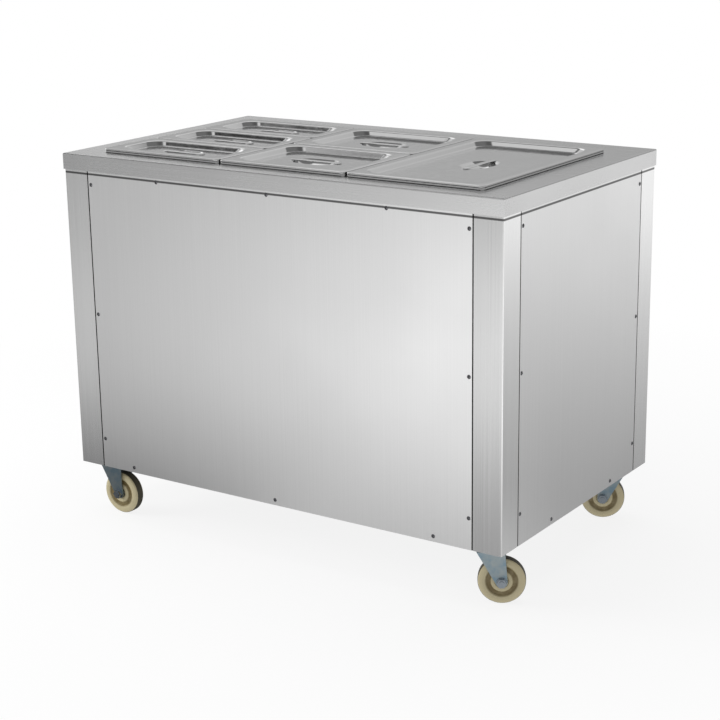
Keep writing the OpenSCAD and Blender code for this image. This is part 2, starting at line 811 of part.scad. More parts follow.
// Cupboard floor: a shallow tray on the base frame
module cupboard_floor() {
  length = 2 * (frame_x - 2);
  front = -frame_y + 2;
  back = frame_y - track_width - door_play;
  color("silver") difference() {
    translate([-length / 2, front, base_top]) cube([length, back - front, sheet + floor_lip]);
    translate([-length / 2 + sheet, front + sheet, base_top + sheet])
      cube([length - 2 * sheet, back - front, floor_lip + past]);
    translate([gland_x, gland_y, base_top - past]) cylinder(h = sheet + 2 * past, d = gland_thread + 0.4);
  }
}

// Cupboard shelf, seated between the posts' flanges
module cupboard_shelf() {
  front = -frame_y;
  back = frame_y - track_width - 10;
  color("silver") translate([0, (front + back) / 2, shelf_height - shelf_edge])
    folded_tray(2 * frame_x, back - front, shelf_edge, sheet, fold_radius);
}

// Track with two grooves, its closed face on z and its grooves opening upwards
module door_track() {
  difference() {
    translate([-(frame_x - 2), frame_y - track_width, 0])
      cube([2 * (frame_x - 2), track_width, track_height]);
    for (y = [outer_door_y, inner_door_y]) translate([0, y, 0])
      block([2 * frame_x, groove_width, groove_depth + past], track_height - groove_depth);
  }
}

// Door tracks: one on the base frame and one upside down under the control panel
module door_tracks() {
  color("lightgray") {
    translate([0, 0, base_top]) door_track();
    translate([0, 0, control_bottom]) mirror([0, 0, 1]) door_track();
  }
}

// Sliding door, -1 left in the outer groove or 1 right in the inner one
module door(side) {
  y = side < 0 ? outer_door_y : inner_door_y;
  middle = side * (door_width / 2 - door_lap);
  height = door_top - door_bottom;
  pull_x = side * (door_opening - pull_inset);
  pull_z = (door_bottom + door_top) / 2;
  face = y + door_thickness / 2;
  cup = pull_depth + door_sheet;
  color("silver") difference() {
    union() {
      difference() {
        translate([middle, y, 0]) block([door_width, door_thickness, height], door_bottom);
        translate([middle, y - door_sheet, door_bottom + door_sheet])
          block([door_width - 2 * door_sheet, door_thickness, height - 2 * door_sheet], 0);
      }
      translate([pull_x, face - cup / 2, pull_z])
        cube([pull_width + 2 * door_sheet, cup, pull_height + 2 * door_sheet], center = true);
    }
    translate([pull_x, face - pull_depth / 2 + past / 2, pull_z])
      cube([pull_width, pull_depth + past, pull_height], center = true);
  }
}

// Length of the bush that the thermostat's spindle turns in
bush_length = 14;

// Thermostat behind the control panel
module thermostat_body() {
  back = control_y - sheet;
  color("dimgray") difference() {
    translate([thermostat_x, back - thermostat_depth / 2, control_z])
      cube([thermostat_size, thermostat_depth, thermostat_size], center = true);
    translate([thermostat_x, back - bush_length - 1, control_z]) rotate([-90, 0, 0])
      cylinder(h = bush_length + 1 + past, r = spindle_diameter / 2 + running_fit);
  }
}

// Thermostat knob with its spindle: a skirt, a waisted grip and a pointer ridge
module thermostat_knob() {
  r = knob_diameter / 2;
  h = knob_height;
  gap = 1;
  skirt = 5;
  color("black") translate([thermostat_x, control_y, control_z]) rotate([-90, 0, 0]) {
    rotate_extrude($fn = 72) {
      translate([0, gap]) square([r - 1, skirt]);
      translate([0, gap + 1]) square([r, skirt - 2]);
      translate([r - 1, gap + 1]) circle(1, $fn = 24);
      translate([r - 1, gap + skirt - 1]) circle(1, $fn = 24);
      translate([0, gap]) square([0.68 * r, h - gap - 2]);
      translate([0, gap]) square([0.68 * r - 2, h - gap]);
      translate([0.68 * r - 2, h - 2]) circle(2, $fn = 24);
    }
    translate([-r / 8, -0.9 * r, gap + 1]) cube([r / 4, 1.8 * r, h - gap - 3]);
    translate([0, 0, -sheet - bush_length])
      cylinder(h = sheet + bush_length + gap + 1, d = spindle_diameter);
  }
}

// Depth of the rocker's pivot in front of the control panel, and the radius of its pins
rocker_pivot = 1;
rocker_pin = 1.5;
rocker_back = 4;
rocker_room = rocker_back + rocker_height / 2 * sin(rocker_tilt) + 1;

// Housing of the power switch: a bezel on the control panel and a body through its hole
module power_switch() {
  bezel = 2;
  body = 24;
  color("dimgray") translate([switch_x, control_y, control_z]) difference() {
    union() {
      translate([0, bezel / 2, 0]) cube([switch_hole_x + 5, bezel, switch_hole_z + 5], center = true);
      translate([0, (past - body) / 2, 0])
        cube([switch_hole_x - 0.4, body + past, switch_hole_z - 0.4], center = true);
    }
    translate([0, rocker_pivot - rocker_room + 10, 0])
      cube([rocker_width + 0.8, 20, rocker_height + 2], center = true);
    translate([0, rocker_pivot, 0]) rotate([0, 90, 0])
      cylinder(h = rocker_width + 3.4, r = rocker_pin + running_fit, center = true, $fn = 24);
  }
}

// Rocker of the power switch, tilted to its off position
module power_rocker() {
  v = rocker_height / 2;
  color("darkred") translate([switch_x, control_y + rocker_pivot, control_z]) rotate([rocker_tilt, 0, 0]) {
    rotate([90, 0, 90]) linear_extrude(rocker_width, center = true)
      polygon([[-rocker_back, -v], [3, -v], [2, 0], [3, v], [-rocker_back, v]]);
    rotate([0, 90, 0]) cylinder(h = rocker_width + 3, r = rocker_pin, center = true, $fn = 24);
  }
}

// Indicator lamp: a domed lens on the control panel with its body behind
module indicator_lamp() {
  r = lamp_diameter / 2;
  color("orange") translate([lamp_x, control_y, control_z]) rotate([-90, 0, 0]) rotate_extrude() {
    square([r, 2]);
    translate([0, -16]) square([r - 1.7, 16 + past]);
    translate([0, 2]) intersection() {
      translate([0, -r]) circle(1.41 * (r - 1));
      square([r, r]);
    }
  }
}

// Tube of the heating element: two long legs joined by a half turn, with feet and a terminal plate
module heating_element() {
  r = element_diameter / 2;
  half = element_pitch / 2;
  bend_x = -tank_length / 2 + half + 60;
  plate_x = tank_length / 2 - 3;
  foot_h = element_height - r / 2;
  color("gray") translate([0, well_y, tank_floor]) {
    for (s = [-1, 1]) translate([bend_x, s * half, element_height]) rotate([0, 90, 0])
      cylinder(h = plate_x - bend_x + 1, r = r);
    translate([bend_x, 0, element_height]) rotate([0, 0, 90]) rotate_extrude(angle = 180)
      translate([half, 0]) circle(r);
    for (x = [bend_x + 30, (bend_x + plate_x) / 2, plate_x - 80]) for (s = [-1, 1])
      translate([x, s * half, 0]) block([4, element_diameter, foot_h], 0);
    translate([plate_x, -half - 15, element_height - 10]) cube([3, 2 * half + 30, 20]);
  }
}

// Depth of the drain's parts below the tank, counted from the tank's underside
valve_z = tank_floor - sheet - 0.6 * drain_length;
boss_reach = valve_diameter / 2 + 6;
boss_bore = 12;

// Drain pipe and ball valve under the tank
module drain_valve() {
  ro = drain_pipe / 2;
  rv = valve_diameter / 2;
  top = tank_floor - sheet;
  color("darkgray") translate([drain_x, well_y + drain_y, 0]) difference() {
    union() {
      translate([0, 0, top - drain_length]) cylinder(h = drain_length, r = ro);
      translate([0, 0, valve_z]) sphere(rv);
      for (s = [-1, 1]) translate([0, 0, valve_z + s * rv * 0.85])
        cylinder(h = 12, r = ro + 3, center = true, $fn = 6);
      translate([0, 0, valve_z]) rotate([-90, 0, 0])
        cylinder(h = boss_reach, r = lever_spindle / 2 + 3.5);
    }
    translate([0, 0, top - drain_length - past]) cylinder(h = drain_length + 2 * past, d = drain_bore);
    translate([0, boss_reach - boss_bore, valve_z]) rotate([-90, 0, 0])
      cylinder(h = boss_bore + past, r = lever_spindle / 2 + running_fit);
  }
}

// Lever of the drain valve, lying across the flow when it is shut
module drain_lever() {
  plate = 3;
  width = 16;
  start = boss_reach + 0.4;
  color("firebrick") translate([drain_x, well_y + drain_y, valve_z]) {
    translate([0, start - boss_bore, 0]) rotate([-90, 0, 0])
      cylinder(h = boss_bore + plate + 7, d = lever_spindle);
    translate([0, start + plate / 2, 0]) rotate([90, 0, 0]) linear_extrude(plate, center = true) {
      circle(width / 2 + 1);
      translate([0, -width / 2]) square([lever_length - width / 2, width]);
      translate([lever_length - width / 2, 0]) circle(width / 2);
    }
    translate([0, start + plate - 0.5, 0]) rotate([-90, 0, 0]) cylinder(h = 6, r = 8, $fn = 6);
  }
}

// Place and thread of the cable gland in the cupboard's floor
gland_x = gland_inset_x - frame_x;
gland_y = frame_y - gland_inset_y;
gland_thread = gland_bore + 7;

// Cable gland through the cupboard's floor, with its dome below
module cable_gland() {
  top = base_top + sheet;
  color("dimgray") translate([gland_x, gland_y, 0]) difference() {
    union() {
      translate([0, 0, top]) cylinder(h = 5, d = gland_thread + 8, $fn = 6);
      translate([0, 0, base_top - 8]) cylinder(h = 8 + sheet + 1, d = gland_thread);
      translate([0, 0, base_top - 6]) cylinder(h = 6, d = gland_thread + 8, $fn = 6);
      translate([0, 0, base_top - 20]) rotate_extrude() {
        square([gland_thread / 2 + 1, 14.5]);
        translate([0, -3]) square([gland_thread / 2 - 2, 6]);
        translate([gland_thread / 2 - 2, 0]) circle(3);
      }
    }
    translate([0, 0, base_top - 30]) cylinder(h = 60, d = gland_bore);
  }
}

// Domed screws that hold the panels
module panel_screws() {
  r = screw_head / 2;
  dome = (r * r + screw_dome * screw_dome) / (2 * screw_dome);
  color("whitesmoke") for (s = SCREWS) translate(s[0]) rotate(s[1]) {
    rotate_extrude($fn = 32) intersection() {
      translate([0, screw_dome - dome]) circle(dome, $fn = 64);
      square([r, screw_dome]);
    }
    translate([0, 0, -screw_length])
      cylinder(h = screw_length + screw_dome / 2, d = screw_shank, $fn = 24);
  }
}

// Fixed top plates of the castors, each with its bearing race and king pin
module castor_plates() {
  head = 4;
  head_top = crown_bottom - 0.5;
  color("slategray") for (c = CASTORS) translate([c[0] * swivel_x, c[1] * swivel_y, 0]) {
    difference() {
      translate([0, 0, plate_bottom]) linear_extrude(plate_thickness)
        rounded_2d(plate_length, plate_depth, 8);
      for (x = [-1, 1]) for (y = [-1, 1])
        translate([x * bolt_pitch_x / 2, y * bolt_pitch_y / 2, plate_bottom - past])
          cylinder(h = plate_thickness + 2 * past, r = bolt_hole, $fn = 24);
    }
    rotate_extrude() {
      translate([0, plate_bottom - race_height + 2]) square([race_radius, race_height - 1]);
      translate([0, plate_bottom - race_height]) square([race_radius - 2, race_height]);
      translate([race_radius - 2, plate_bottom - race_height + 2]) circle(2, $fn = 24);
    }
    translate([0, 0, head_top - head])
      cylinder(h = plate_bottom - head_top + head, d = kingpin_diameter);
    translate([0, 0, head_top - head]) cylinder(h = head, d = kingpin_diameter + 7);
  }
}

// Bolts and nuts that hold the castor plates to the base frame
module castor_bolts() {
  head = 5.3;
  nut = 6.5;
  across = 1.73 * bolt_diameter;
  reach = plate_thickness + gusset_thickness + nut + 2;
  color("gainsboro") at_bolts() {
    translate([0, 0, plate_bottom - head]) cylinder(h = head, d = across, $fn = 6);
    translate([0, 0, plate_bottom - past]) cylinder(h = reach + past, d = bolt_diameter, $fn = 24);
    difference() {
      translate([0, 0, castor_height + gusset_thickness]) cylinder(h = nut, d = across, $fn = 6);
      translate([0, 0, castor_height]) cylinder(h = 2 * nut, d = bolt_diameter + 0.1, $fn = 24);
    }
  }
}

// Angle of the tangent from point p to the circle of radius r round c, on the side of sign s
function tangent_angle(p, c, r, s) =
  let (d = p - c) atan2(d[1], d[0]) + s * acos(r / norm(d));

// Side view of a fork leg: a wide crown that narrows to the eye round the axle
module fork_side_2d() {
  eye = [castor_trail, axle_z];
  left = [-fork_crown / 2, crown_top];
  right = [fork_crown / 2, crown_top];
  tl = tangent_angle(left, eye, fork_eye, 1);
  tr = tangent_angle(right, eye, fork_eye, -1);
  polygon([left, right, eye + fork_eye * [cos(tr), sin(tr)], eye + fork_eye * [cos(tl), sin(tl)]]);
  translate(eye) circle(fork_eye);
}

// Castor c moved to its swivel axis and turned to its rest angle
module at_castor(c) {
  translate([c[0] * swivel_x, c[1] * swivel_y, 0]) rotate([0, 0, c[2]]) children();
}

// Pressed fork of castor c, with the axle bolt and nut through its legs
module castor_fork(c) {
  shoulder = 8;
  low = axle_z - fork_eye - past;
  washer = 1.5;
  side = fork_width / 2 + 0.05;
  color("lightsteelblue") at_castor(c) {
    difference() {
      union() {
        intersection() {
          rotate([90, 0, 0]) linear_extrude(2 * fork_width, center = true) fork_side_2d();
          rotate([90, 0, 90]) linear_extrude(4 * fork_crown, center = true) difference() {
            translate([0, low]) arch_2d(fork_width, crown_top - low, shoulder);
            translate([0, low - past])
              arch_2d(fork_width - 2 * fork_sheet, crown_bottom - low + past, shoulder - fork_sheet);
          }
        }
        rotate_extrude() translate([0, crown_bottom]) difference() {
          square([cup_radius, 7]);
          translate([-past, fork_sheet]) square([cup_radius - fork_sheet + past, 7]);
        }
      }
      translate([0, 0, crown_bottom - past])
        cylinder(h = fork_sheet + 2 * past, r = kingpin_diameter / 2 + running_fit);
      translate([castor_trail, 0, axle_z]) rotate([90, 0, 0])
        cylinder(h = 2 * fork_width, r = axle_diameter / 2 + 0.05, center = true);
    }
    translate([castor_trail, 0, axle_z]) rotate([90, 0, 0]) {
      cylinder(h = fork_width + 2 * (washer + 9), d = axle_diameter, center = true);
      for (s = [-1, 1]) {
        translate([0, 0, s * (side + washer / 2)])
          cylinder(h = washer, d = axle_diameter + 10, center = true);
        translate([0, 0, s * (side + washer + 3.5)])
          cylinder(h = 7, d = 1.73 * axle_diameter, center = true, $fn = 6);
      }
    }
  }
}

// Wheel of castor c: a rounded tyre, a ring groove in each face and a hub boss
module castor_wheel(c) {
  r = wheel_diameter / 2;
  w = wheel_width / 2;
  s = wheel_shoulder;
  groove = 3;
  bore = axle_diameter / 2 + running_fit;
  color("antiquewhite") at_castor(c) translate([castor_trail, 0, axle_z]) rotate([90, 0, 0])
    rotate_extrude($fn = 96) difference() {
      union() {
        translate([bore, -w]) square([r - s - bore, 2 * w]);
        translate([bore, -w + s]) square([r - bore, 2 * (w - s)]);
        for (k = [-1, 1]) translate([r - s, k * (w - s)]) circle(s);
      }
      for (k = [-1, 1]) {
        translate([0.46 * r, k * (w + (past - groove) / 2) - (groove + past) / 2])
          square([0.2 * r, groove + past]);
        translate([bore - past, k * (w - 0.25) - 0.75]) square([0.28 * r - bore + past, 1.5]);
      }
    }
}

worktop();
tank_base();
tank_sides();
tank_ends();
tank_casing();
long_bars();
cross_bars();
pan(0, 0, 3);  // pan_third_front
pan(0, 1, 3);  // pan_third_middle
pan(0, 2, 3);  // pan_third_rear
pan(1, 0, 2);  // pan_half_front
pan(1, 1, 2);  // pan_half_rear
pan(2, 0, 1);  // pan_full
lid(0, 0, 3);  // lid_third_front
lid(0, 1, 3);  // lid_third_middle
lid(0, 2, 3);  // lid_third_rear
lid(1, 0, 2);  // lid_half_front
lid(1, 1, 2);  // lid_half_rear
lid(2, 0, 1);  // lid_full
handle(0, 0, 3);  // handle_third_front
handle(0, 1, 3);  // handle_third_middle
handle(0, 2, 3);  // handle_third_rear
handle(1, 0, 2);  // handle_half_front
handle(1, 1, 2);  // handle_half_rear
handle(2, 0, 1);  // handle_full
post(-1, -1);  // post_front_left
post(1, -1);  // post_front_right
post(-1, 1);  // post_rear_left
post(1, 1);  // post_rear_right
top_frame();
base_frame();
front_panel();
end_panel(-1);  // left_panel
end_panel(1);  // right_panel
control_panel();
cupboard_floor();
cupboard_shelf();
door_tracks();
door(-1);  // door_left
door(1);  // door_right
thermostat_body();
thermostat_knob();
power_switch();
power_rocker();
indicator_lamp();
heating_element();
drain_valve();
drain_lever();
cable_gland();
panel_screws();
castor_plates();
castor_bolts();
castor_fork(CASTORS[0]);  // castor_fork_front_left
castor_fork(CASTORS[1]);  // castor_fork_front_right
castor_fork(CASTORS[2]);  // castor_fork_rear_left
castor_fork(CASTORS[3]);  // castor_fork_rear_right
castor_wheel(CASTORS[0]);  // castor_wheel_front_left
castor_wheel(CASTORS[1]);  // castor_wheel_front_right
castor_wheel(CASTORS[2]);  // castor_wheel_rear_left
castor_wheel(CASTORS[3]);  // castor_wheel_rear_right
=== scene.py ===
"""Dresses a packed mobile bain marie for a studio view.

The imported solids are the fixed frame. The pressed pans and lids, the strap handles, the castor
wheels, the screws and the thermostat's dial get finer surfaces of their own, and every other solid
keeps its mesh and gets a finish. Lengths are in metres in the frame of the solids: +X runs along
the worktop, -Y is the closed side, +Y is the operator's side, +Z is up and the floor is at zero.
"""

from __future__ import annotations

import json
import logging
import math
from collections.abc import Iterable, Sequence
from dataclasses import dataclass
from enum import Enum
from functools import reduce
from typing import Any

import bpy
import numpy as np
from bpy.types import ID, Material, Mesh, Node, NodeTree, Object
from bpy.types import NodeSocket as Socket
from mathutils import Matrix, Vector

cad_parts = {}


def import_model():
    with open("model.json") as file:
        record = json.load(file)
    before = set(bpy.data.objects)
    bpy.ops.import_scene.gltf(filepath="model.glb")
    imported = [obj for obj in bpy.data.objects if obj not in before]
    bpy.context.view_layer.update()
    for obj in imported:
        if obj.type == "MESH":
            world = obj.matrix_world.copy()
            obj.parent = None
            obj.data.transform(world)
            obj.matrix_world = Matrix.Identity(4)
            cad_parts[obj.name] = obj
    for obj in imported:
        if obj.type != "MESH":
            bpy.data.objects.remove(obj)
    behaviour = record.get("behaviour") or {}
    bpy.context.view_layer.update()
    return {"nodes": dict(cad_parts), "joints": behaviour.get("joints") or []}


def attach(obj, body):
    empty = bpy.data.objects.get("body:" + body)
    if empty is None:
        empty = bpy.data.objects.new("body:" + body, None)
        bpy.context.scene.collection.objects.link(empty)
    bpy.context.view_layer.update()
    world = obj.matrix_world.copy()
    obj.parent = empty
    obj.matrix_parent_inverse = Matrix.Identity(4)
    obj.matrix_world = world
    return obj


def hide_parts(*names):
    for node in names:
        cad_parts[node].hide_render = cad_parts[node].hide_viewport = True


Array = np.ndarray
Colour = tuple[float, float, float]
Ramp = tuple[float, float, float, float]
Solids = dict[str, Object]
LOG = logging.getLogger("bain_marie")
MM = 0.001
QUARTER = math.pi / 2
UP = np.array([0.0, 0.0, 1.0])
REAR = np.array([0.0, 1.0, 0.0])
UNSCALED = (1.0, 1.0, 1.0)
ANYWHERE = (-2.0, 2.0)


def turn(steps: int) -> Array:
    """Angles of a full turn in even steps, without the last."""
    return np.linspace(0.0, 2 * math.pi, steps, endpoint=False)


def superellipse(steps: int, power: float) -> Array:
    """Outline |a|^n + |b|^n = 1: a circle's numbers to the power 2 / n, with their signs kept."""
    circle = np.stack([np.cos(turn(steps)), np.sin(turn(steps))], axis=1)
    return np.sign(circle) * np.abs(circle) ** (2 / power)


def filleted(stations: Array, radii: Sequence[float], steps: int = 6) -> Array:
    """Rounds the inner corners of a path.

    Each corner becomes an arc that touches both legs at r / tan(h) from the corner, where h is half
    the angle between the legs. The arc's centre lies on the bisector at r / sin(h), and its points
    are the two end radii blended by sin((1 - t) f) and sin(t f) over sin(f), with f its full angle.

    Args:
        stations: Corner points of the path, one row each, in any number of dimensions.
        radii: One radius for each inner station.
        steps: Segments in each arc.

    Returns:
        The rounded path, one point a row.
    """
    rows = [stations[0]]
    blend = np.linspace(0.0, 1.0, steps + 1)[:, None]
    straight, most = 0.03, 0.48
    for before, corner, after, radius in zip(stations[:-2], stations[1:-1], stations[2:], radii):
        leg_a, leg_b = before - corner, after - corner
        length_a, length_b = np.linalg.norm(leg_a), np.linalg.norm(leg_b)
        leg_a, leg_b = leg_a / length_a, leg_b / length_b
        half = math.acos(float(np.clip(leg_a @ leg_b, -1.0, 1.0))) / 2
        full = math.pi - 2 * half
        if radius <= 0 or full < straight:
            rows.append(corner)
            continue
        reach = min(radius / math.tan(half), most * length_a, most * length_b)
        bisector = (leg_a + leg_b) / np.linalg.norm(leg_a + leg_b)
        centre = corner + bisector * reach * math.tan(half) / math.sin(half)
        first = corner + leg_a * reach - centre
        last = corner + leg_b * reach - centre
        weights = np.sin((1 - blend) * full), np.sin(blend * full)
        rows.extend(centre + (weights[0] * first + weights[1] * last) / math.sin(full))
    rows.append(stations[-1])
    return np.array(rows)


def outline(rows: Sequence[Sequence[float]], steps: int = 6) -> Array:
    """Closed outline of a turned part.

    Args:
        rows: Corners as radius, height along the axis and fillet, in millimetres. The outline
            starts and ends at the first one, which stays sharp.
        steps: Segments in each fillet.

    Returns:
        Its points in metres, as rows of radius and height, with no point twice.
    """
    stations = np.array([*rows, rows[0]], float) * MM
    return filleted(stations[:, :2], stations[1:-1, 2], steps)[:-1]


def pressed_rings(rows: Array, thickness: float, steps: int) -> Array:
    """Closed skin of a sheet pressed from rounded rectangles.

    The upper skin is the section itself. The lower skin is the section moved by the thickness along
    its normal, which is the section's direction turned a quarter towards the underside; half sizes
    and corner radii shrink by the same step, so that walls stay parallel round the corners. A
    corner's points are its centre plus the radius times (cos a, sin a), with a running through a
    quarter turn, and its centre stands the radius inside both half sizes.

    Args:
        rows: Section from the rim's free edge to the middle, as rows of the distance inwards, half
            size along X, half size along Y, corner radius and height.
        thickness: Thickness of the sheet.
        steps: Segments in each corner.

    Returns:
        A grid of rings from the lower middle over the rim to the upper middle.
    """
    legs = np.diff(rows[:, [0, 4]], axis=0)
    legs /= np.linalg.norm(legs, axis=1, keepdims=True)
    way = np.vstack([legs[:1], legs[:-1] + legs[1:], legs[-1:]])
    way /= np.linalg.norm(way, axis=1, keepdims=True)
    inwards, down = way[:, 1] * thickness, -way[:, 0] * thickness
    under = rows + np.stack([inwards, -inwards, -inwards, -inwards, down], axis=1)
    under[:, 3] = np.maximum(under[:, 3], 0.3 * MM)
    _, half_x, half_y, radius, height = np.vstack([under[::-1], rows]).T[..., None, None]
    angle = (np.arange(4)[:, None] + np.linspace(0.0, 1.0, steps + 1)) * QUARTER
    x = np.array([1, -1, -1, 1])[:, None] * (half_x - radius) + radius * np.cos(angle)
    y = np.array([1, 1, -1, -1])[:, None] * (half_y - radius) + radius * np.sin(angle)
    return np.stack([x, y, np.broadcast_to(height, x.shape)], axis=-1).reshape(len(x), -1, 3)


def lathe_rings(profile: Array, centre: Array, axis: Array, steps: int) -> Array:
    """Surface of revolution: each profile point goes round the axis at its own radius.

    A point is the centre plus its height times the axis plus its radius times (cos a, sin a) in two
    directions square to the axis.

    Args:
        profile: Rows of radius and height along the axis.
        centre: Point on the axis that heights count from.
        axis: Unit vector along the axis, which isn't upright.
        steps: Segments round the axis.

    Returns:
        A grid of profile points by steps by three coordinates.
    """
    side = np.cross(UP, axis)
    side /= np.linalg.norm(side)
    angle = turn(steps)[None, :, None]
    radius, height = profile[:, 0][:, None, None], profile[:, 1][:, None, None]
    round_ = np.cos(angle) * side + np.sin(angle) * np.cross(axis, side)
    return centre + height * axis + radius * round_


def swept_rings(path: Array, side: Array, widths: Array, section: Array) -> Array:
    """Carries a flat section along a path that stays in a plane.

    A point is the path's point, plus the section's first number times the local width along the
    side, plus its second number along the path's normal, which is the side crossed with its way.

    Args:
        path: Points of the path.
        side: Unit vector square to the path's plane.
        widths: Half width at each point of the path.
        section: Rows of the share of the half width and the distance along the normal.

    Returns:
        A grid of path points by section points by three coordinates.
    """
    way = np.gradient(path, axis=0)
    way /= np.linalg.norm(way, axis=1, keepdims=True)
    normal = np.cross(way, side)
    across = section[None, :, 0, None] * widths[:, None, None] * side
    return path[:, None, :] + across + section[None, :, 1, None] * normal[:, None, :]


class Skin:
    """Points and faces of one piece, gathered shell by shell."""

    def __init__(self) -> None:
        """Starts with no points."""
        self.points: list[Array] = []
        self.faces: list[list[int]] = []
        self.count = 0

    def add(self, grid: Array, closed_rows: bool = False) -> Skin:
        """Adds a grid whose columns close on themselves, as a shell that faces outwards.

        The signed volume of the shell, a sixth of the sum of each triangle's triple product, tells
        which way its faces point, and they are turned when it is negative.

        Args:
            grid: Points as rows by columns by three coordinates.
            closed_rows: Whether the last row joins the first; otherwise both ends get a cap.

        Returns:
            The skin itself, so that calls can be chained.
        """
        rows, columns = grid.shape[:2]
        index = np.arange(rows * columns).reshape(rows, columns)
        if closed_rows:
            index = np.vstack([index, index[:1]])
        beside = np.roll(index, -1, axis=1)
        quads = np.stack([index[:-1], beside[:-1], beside[1:], index[1:]], axis=-1).reshape(-1, 4)
        flat = grid.reshape(-1, 3)
        caps = [] if closed_rows else [index[0][::-1], index[-1]]
        triangles = [quads[:, [0, 1, 2]], quads[:, [0, 2, 3]]]
        triangles += [np.stack([np.full(len(c) - 2, c[0]), c[1:-1], c[2:]], axis=1) for c in caps]
        a, b, c = (flat[np.vstack(triangles)[:, k]] - flat.mean(axis=0) for k in range(3))
        inside_out = np.einsum("ij,ij->", a, np.cross(b, c)) < 0
        for faces in (quads, *(cap[None] for cap in caps)):
            self.faces += ((faces[:, ::-1] if inside_out else faces) + self.count).tolist()
        self.points.append(flat)
        self.count += len(flat)
        return self

    def lathe(self, profile: Array, centre: Array, axis: Array, steps: int) -> Skin:
        """Adds a closed profile that goes round an axis, as lathe_rings does."""
        return self.add(lathe_rings(profile, centre, axis, steps), True)

    def mesh(self, name: str, sharp: float) -> Mesh:
        """Makes a smooth mesh of the skin.

        Args:
            name: Name of the mesh.
            sharp: Angle in degrees past which an edge stays sharp.

        Returns:
            The mesh.
        """
        mesh = bpy.data.meshes.new(name)
        mesh.from_pydata(np.vstack(self.points).tolist(), [], self.faces)
        mesh.polygons.foreach_set("use_smooth", np.ones(len(mesh.polygons), bool))
        mesh.set_sharp_from_angle(angle=math.radians(sharp))
        mesh.update()
        return mesh


def linked(name: str, data: ID) -> Object:
    """Makes an object of some data and links it to the scene.

    Args:
        name: Name of the object.
        data: Its mesh, lamp or camera.

    Returns:
        The object.
    """
    obj = bpy.data.objects.new(name, data)
    bpy.context.scene.collection.objects.link(obj)
    return obj


def put_piece(
    name: str, skin: Skin, finish: Finish, body: str, slot: str, *solids: str, sharp: float = 32.0
) -> Mesh:
    """Links a piece, dresses it and lets it ride on its body.

    Args:
        name: Name of the piece.
        skin: Its surface.
        finish: Its finish.
        body: The CAD body that it moves with.
        slot: Not used.
        *solids: The solids that it stands for.
        sharp: Angle in degrees past which an edge stays sharp.

    Returns:
        The new object's mesh.
    """
    obj = linked(name, skin.mesh(name, sharp))
    obj.data.materials.append(finish.material())
    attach(obj, body)
    if solids:
        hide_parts(*solids)
    LOG.info("piece %s on %s, %d points", name, body, skin.count)
    return obj.data


def face_vectors(mesh: Mesh, kind: str) -> Array:
    """Reads a vector of each face.

    Args:
        mesh: The mesh.
        kind: Which vector: center or normal.

    Returns:
        The vectors, one a row.
    """
    values = np.zeros(len(mesh.polygons) * 3)
    mesh.polygons.foreach_get(kind, values)
    return values.reshape(-1, 3)


def paint_faces(mesh: Mesh, *chosen: tuple[Array, Finish]) -> None:
    """Gives chosen faces finishes of their own, each in a new slot, and all others the first slot.

    Args:
        mesh: The mesh, with its main finish in the first slot.
        *chosen: Pairs of a mask over the faces and a finish; of two masks the later one wins.
    """
    slots = np.zeros(len(mesh.polygons), np.int32)
    for mask, finish in chosen:
        slots[mask] = len(mesh.materials)
        mesh.materials.append(finish.material())
    mesh.polygons.foreach_set("material_index", slots)


class Grain(Enum):
    """How a sheet was brushed: the stretch of its streaks along X, Y and Z, and their direction.

    The direction stands a little off the axis, so that no face is square to it.
    """

    ALONG = (1.6, 520.0, 520.0), (1.0, 0.031, 0.017)
    UPRIGHT = (520.0, 520.0, 1.6), (0.031, 0.017, 1.0)
    FOLDED = (2.4, 520.0, 520.0), (0.031, 1.0, 0.9)
    SATIN = (60.0, 60.0, 60.0), None


def grey(value: float) -> Colour:
    """Neutral colour of the given lightness."""
    return (value, value, value)


def shaded(colour: Colour, factor: float) -> Colour:
    """A colour times a factor, held at 1."""
    return tuple(min(1.0, c * factor) for c in colour)


